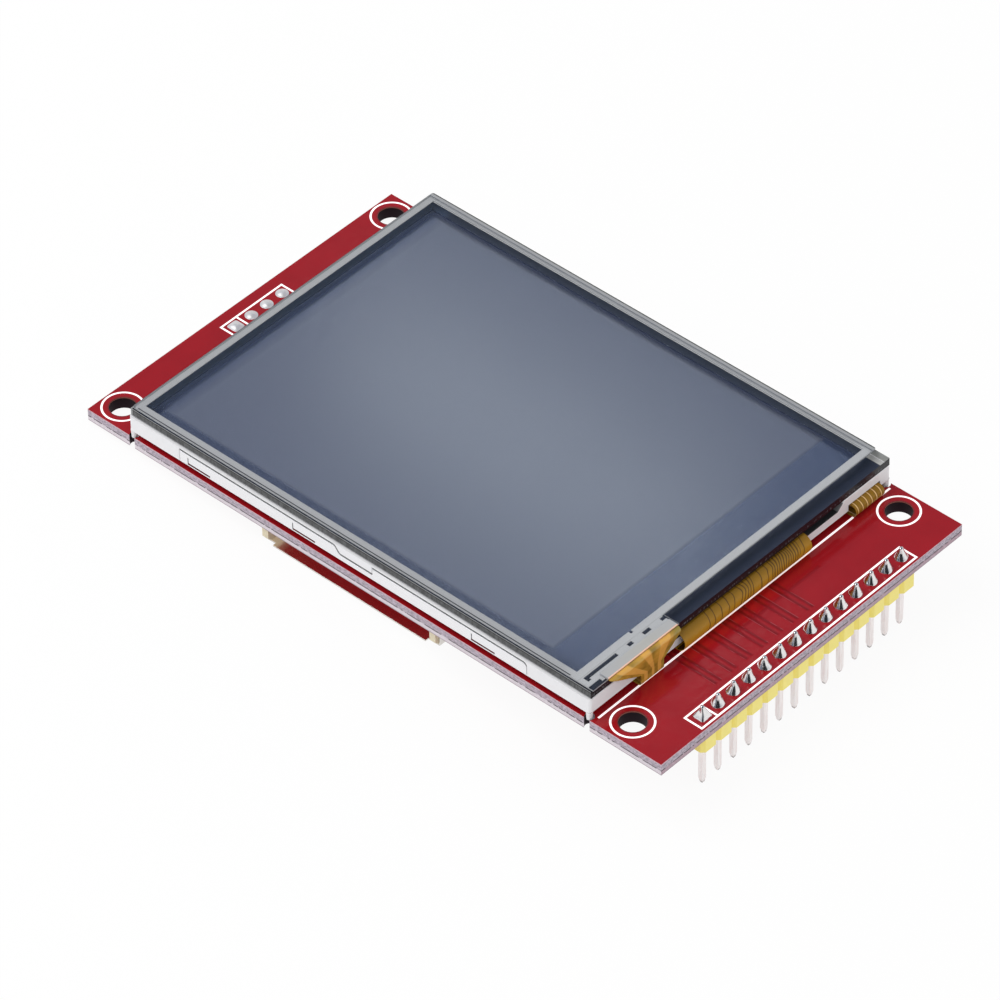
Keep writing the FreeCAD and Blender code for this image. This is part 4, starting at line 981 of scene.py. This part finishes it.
class DISPLAY_OT_card_socket(bpy.types.Operator):
    """Plated cover, cream moulding and gold contacts of the card socket"""

    bl_idname = "display.card_socket"
    bl_label = "Card Socket"

    def execute(self, context):
        look = context.scene.socket_look
        dress("card_socket_cover", self.cover(look))
        soften("card_socket_cover", 0.04)
        dress("card_socket_contacts", self.metal("gold_contacts", (0.83, 0.60, 0.25), 0.25))
        dress("card_socket_base", self.moulding(look))
        soften("card_socket_base", 0.05)
        return {"FINISHED"}

    def cover(self, look):
        """Bright metal that glows on its upper faces in the colours that it mirrors from under the board."""
        finish = self.metal("socket_cover", look.cover, 0.22)
        x, _, _ = finish.position()
        _, _, up = finish.normal()
        low, _ = box_mm("card_socket_cover")
        mirrored = finish.mix(x.below(low.x + RED_FROM_LEFT, 0.6), RED_MIRRORED, TAN_MIRRORED)
        mirrored = finish.mix(up.above(0.6, 0.2), BLACK, mirrored)
        finish.set(Emission_Color=mirrored, Emission_Strength=1.0)
        return finish

    def moulding(self, look):
        finish = Finish("cream_moulding")
        finish.set(Base_Color=finish.uneven(look.moulding, 0.92, finish.noise(1.0)), Roughness=0.45)
        finish.set(Normal=finish.bump(finish.noise(4.0), 0.3, 0.04))
        return finish

    def metal(self, name, colour, roughness):
        finish = Finish(name)
        grain = finish.noise(1.4, 2.0)
        finish.set(Base_Color=finish.uneven(colour, 0.92, grain), Metallic=1.0,
                   Roughness=roughness + grain * 0.06)
        return finish


class DISPLAY_OT_small_parts(bpy.types.Operator):
    """Black packages, tinned leads and chip parts under the board"""

    bl_idname = "display.small_parts"
    bl_label = "Small Parts"

    def execute(self, context):
        for node in ("touch_controller_body", "regulator_body", "transistor_body"):
            dress(node, self.grainy(node, (0.022, 0.022, 0.024), 0.55))
        dress("chip_resistors", self.grainy("chip_resistors", (0.025, 0.026, 0.03), 0.3))
        dress("chip_capacitors", self.grainy("chip_capacitors", (0.42, 0.29, 0.16), 0.4))
        for node in ("touch_controller_leads", "regulator_leads", "transistor_leads", "resistor_ends",
                     "capacitor_ends"):
            dress(node, solder_finish(context.scene.header_look))
        return {"FINISHED"}

    def grainy(self, name, colour, roughness):
        finish = Finish(name + "_finish")
        grain = finish.noise(9.0, 3.0, 0.7)
        finish.set(Base_Color=finish.uneven(colour, 0.8, grain), Roughness=roughness + grain * 0.1)
        finish.set(Normal=finish.bump(grain, 0.4, 0.03))
        return finish


# Stage

class StageLook(bpy.types.PropertyGroup):
    lens: bpy.props.FloatProperty(
        name="Lens", description="Focal length in millimetres on a 36 mm sensor", default=243.33, min=20,
        max=600)
    daylight: bpy.props.FloatProperty(
        name="Daylight", description="Strength of the even light from all round", default=0.62, min=0, max=3)
    key_power: bpy.props.FloatProperty(
        name="Key light", description="Power of the large soft light, in watts", unit="POWER", default=2.9,
        min=0, max=100)
    strip_power: bpy.props.FloatProperty(
        name="Strip light", description="Power of the narrow lamp that the screen mirrors, in watts",
        unit="POWER", default=0.0085, min=0, max=1, precision=4)


CAMERA_PLACE = Vector((383.10, -405.87, 506.67))
CAMERA_RIGHT = Vector((0.73788, 0.67467, -0.01908))
CAMERA_UP = Vector((-0.44555, 0.50814, 0.73709))
CAMERA_BACK = Vector((0.50697, -0.53538, 0.67554))
FLOOR_REACH = 700.0
FLOOR_GAP = 0.02
FLOOR_SEEN = 0.93
FLOOR_MIRRORED = 0.8
KEY_PLACE = Vector((-0.25, -0.30, 0.62))
KEY_SIZE = (0.55, 0.55)
STRIP_PLACE = Vector((-0.149, 0.164, 0.207))
STRIP_SIZE = (0.070, 0.016)


class DISPLAY_OT_stage(bpy.types.Operator):
    """White floor under the module as it rests, soft light and the photographer's camera"""

    bl_idname = "display.stage"
    bl_label = "Stage"

    def execute(self, context):
        look = context.scene.stage_look
        self.floor()
        self.world(look)
        self.light("key_light", KEY_PLACE, KEY_SIZE, look.key_power)
        self.light("strip_light", STRIP_PLACE, STRIP_SIZE, look.strip_power)
        self.camera(look)
        context.scene.view_settings.view_transform = "Standard"
        return {"FINISHED"}

    def floor(self):
        """The module rests on its pin tips and on the left foot of the card socket, so the floor slopes."""
        pins_low, _ = box_mm(PIN_NODES[0])
        socket_low, _ = box_mm("card_socket_cover")
        slope = (socket_low.z - pins_low.z) / (PIN_X - socket_low.x)
        mesh = bpy.data.meshes.new("floor")
        corners = []
        for sx, sy in ((-1, -1), (1, -1), (1, 1), (-1, 1)):
            x, y = sx * FLOOR_REACH, sy * FLOOR_REACH
            corners.append(Vector((x, y, pins_low.z + (PIN_X - x) * slope - FLOOR_GAP)) * MM)
        mesh.from_pydata(corners, [], [(0, 1, 2, 3)])
        floor = bpy.data.objects.new("floor", mesh)
        bpy.context.scene.collection.objects.link(floor)
        finish = Finish("white_floor")
        finish.set(Base_Color=(0.93, 0.93, 0.93), Roughness=0.8, Specular_IOR_Level=0.0,
                   Emission_Color=WHITE)
        paths = finish.node("ShaderNodeLightPath", {}, {})
        glow = finish.glow("ShaderNodeEmission", WHITE)
        mirrored = paths.output("Is Glossy Ray").either(paths.output("Is Transmission Ray"))
        seen = (paths.output("Is Camera Ray") * FLOOR_SEEN).either(mirrored * FLOOR_MIRRORED)
        blend = finish.node("ShaderNodeMixShader", {}, {0: seen})
        finish.tree.links.new(finish.shader.outputs[0], blend.socket.node.inputs[1])
        finish.tree.links.new(glow.socket, blend.socket.node.inputs[2])
        finish.tree.links.new(blend.socket, finish.out.inputs[0])
        mesh.materials.append(finish.material)

    def world(self, look):
        """White to the eye and low down, dimmer overhead, dark at the camera, and lighter from the right."""
        world = bpy.data.worlds.new("studio")
        bpy.context.scene.world = world
        world.use_nodes = True
        sky = Nodes(world.node_tree)
        direction = sky.node("ShaderNodeTexCoord", {}, {}).output("Generated")
        split = sky.node("ShaderNodeSeparateXYZ", {}, {0: direction})
        overhead = split.output("Z").above(0.35, 0.5)
        photographer = self.along(sky, direction, CAMERA_BACK).above(0.55, 0.2)
        photographer = photographer * abs(self.along(sky, direction, CAMERA_RIGHT)).below(0.48, 0.16)
        studio = sky.mix(overhead, WHITE, (0.25, 0.28, 0.38))
        studio = sky.mix(photographer, studio, (0.02, 0.02, 0.025))
        paths = sky.node("ShaderNodeLightPath", {}, {})
        mirror = paths.output("Is Glossy Ray").either(paths.output("Is Transmission Ray"))
        daylight = (split.output("X") * 0.5 + 1) * look.daylight
        seen = sky.mix(mirror, daylight, studio)
        seen = sky.mix(paths.output("Is Camera Ray"), seen, WHITE)
        out = sky.tree.nodes.new("ShaderNodeOutputWorld")
        sky.tree.links.new(sky.glow("ShaderNodeBackground", seen).socket, out.inputs[0])

    def along(self, sky, direction, axis):
        inputs = {0: direction, 1: axis}
        return sky.node("ShaderNodeVectorMath", {"operation": "DOT_PRODUCT"}, inputs, output=1)

    def light(self, name, place, size, power):
        """A soft light that points at the module; its long side lies along X."""
        lamp = bpy.data.lights.new(name, "AREA")
        lamp.energy = power
        lamp.shape = "RECTANGLE"
        lamp.size, lamp.size_y = size
        away = place.normalized()
        along = (Vector((1, 0, 0)) - away * away.x).normalized()
        holder = bpy.data.objects.new(name, lamp)
        holder.matrix_world = Matrix((along, away.cross(along), away)).transposed().to_4x4()
        holder.location = place
        bpy.context.scene.collection.objects.link(holder)

    def camera(self, look):
        lens = bpy.data.cameras.new("camera")
        lens.lens = look.lens
        lens.sensor_width = 36.0
        lens.clip_start = 0.01
        lens.clip_end = 20.0
        holder = bpy.data.objects.new("camera", lens)
        turn = Matrix((CAMERA_RIGHT, CAMERA_UP, CAMERA_BACK)).transposed().to_4x4()
        holder.matrix_world = Matrix.Translation(CAMERA_PLACE * MM) @ turn
        bpy.context.scene.collection.objects.link(holder)
        bpy.context.scene.camera = holder


# Panel and registration

LOOKS = {
    "board_look": BoardLook,
    "header_look": HeaderLook,
    "frame_look": FrameLook,
    "panel_look": PanelLook,
    "touch_look": TouchLook,
    "flex_look": FlexLook,
    "socket_look": SocketLook,
    "stage_look": StageLook,
}
OPERATORS = (
    DISPLAY_OT_board,
    DISPLAY_OT_header,
    DISPLAY_OT_card_pads,
    DISPLAY_OT_frame,
    DISPLAY_OT_panel,
    DISPLAY_OT_touch_panel,
    DISPLAY_OT_flexes,
    DISPLAY_OT_card_socket,
    DISPLAY_OT_small_parts,
    DISPLAY_OT_stage,
)


class DISPLAY_PT_looks(bpy.types.Panel):
    """The module's looks, one button for each group of pieces"""

    bl_label = "Display Module"
    bl_space_type = "VIEW_3D"
    bl_region_type = "UI"
    bl_category = "Display"

    def draw(self, context):
        for operator in OPERATORS:
            self.layout.operator(operator.bl_idname)
        for name, group in LOOKS.items():
            box = self.layout.box()
            for field in group.__annotations__:
                box.prop(getattr(context.scene, name), field)


def register():
    for cls in (*LOOKS.values(), *OPERATORS, DISPLAY_PT_looks):
        bpy.utils.register_class(cls)
    for name, group in LOOKS.items():
        setattr(bpy.types.Scene, name, bpy.props.PointerProperty(type=group))


def unregister():
    for name in LOOKS:
        delattr(bpy.types.Scene, name)
    for cls in (DISPLAY_PT_looks, *OPERATORS, *LOOKS.values()):
        bpy.utils.unregister_class(cls)


def main():
    register()
    for operator in OPERATORS:
        group, name = operator.bl_idname.split(".")
        getattr(getattr(bpy.ops, group), name)()


if __name__ == "__main__":
    main()
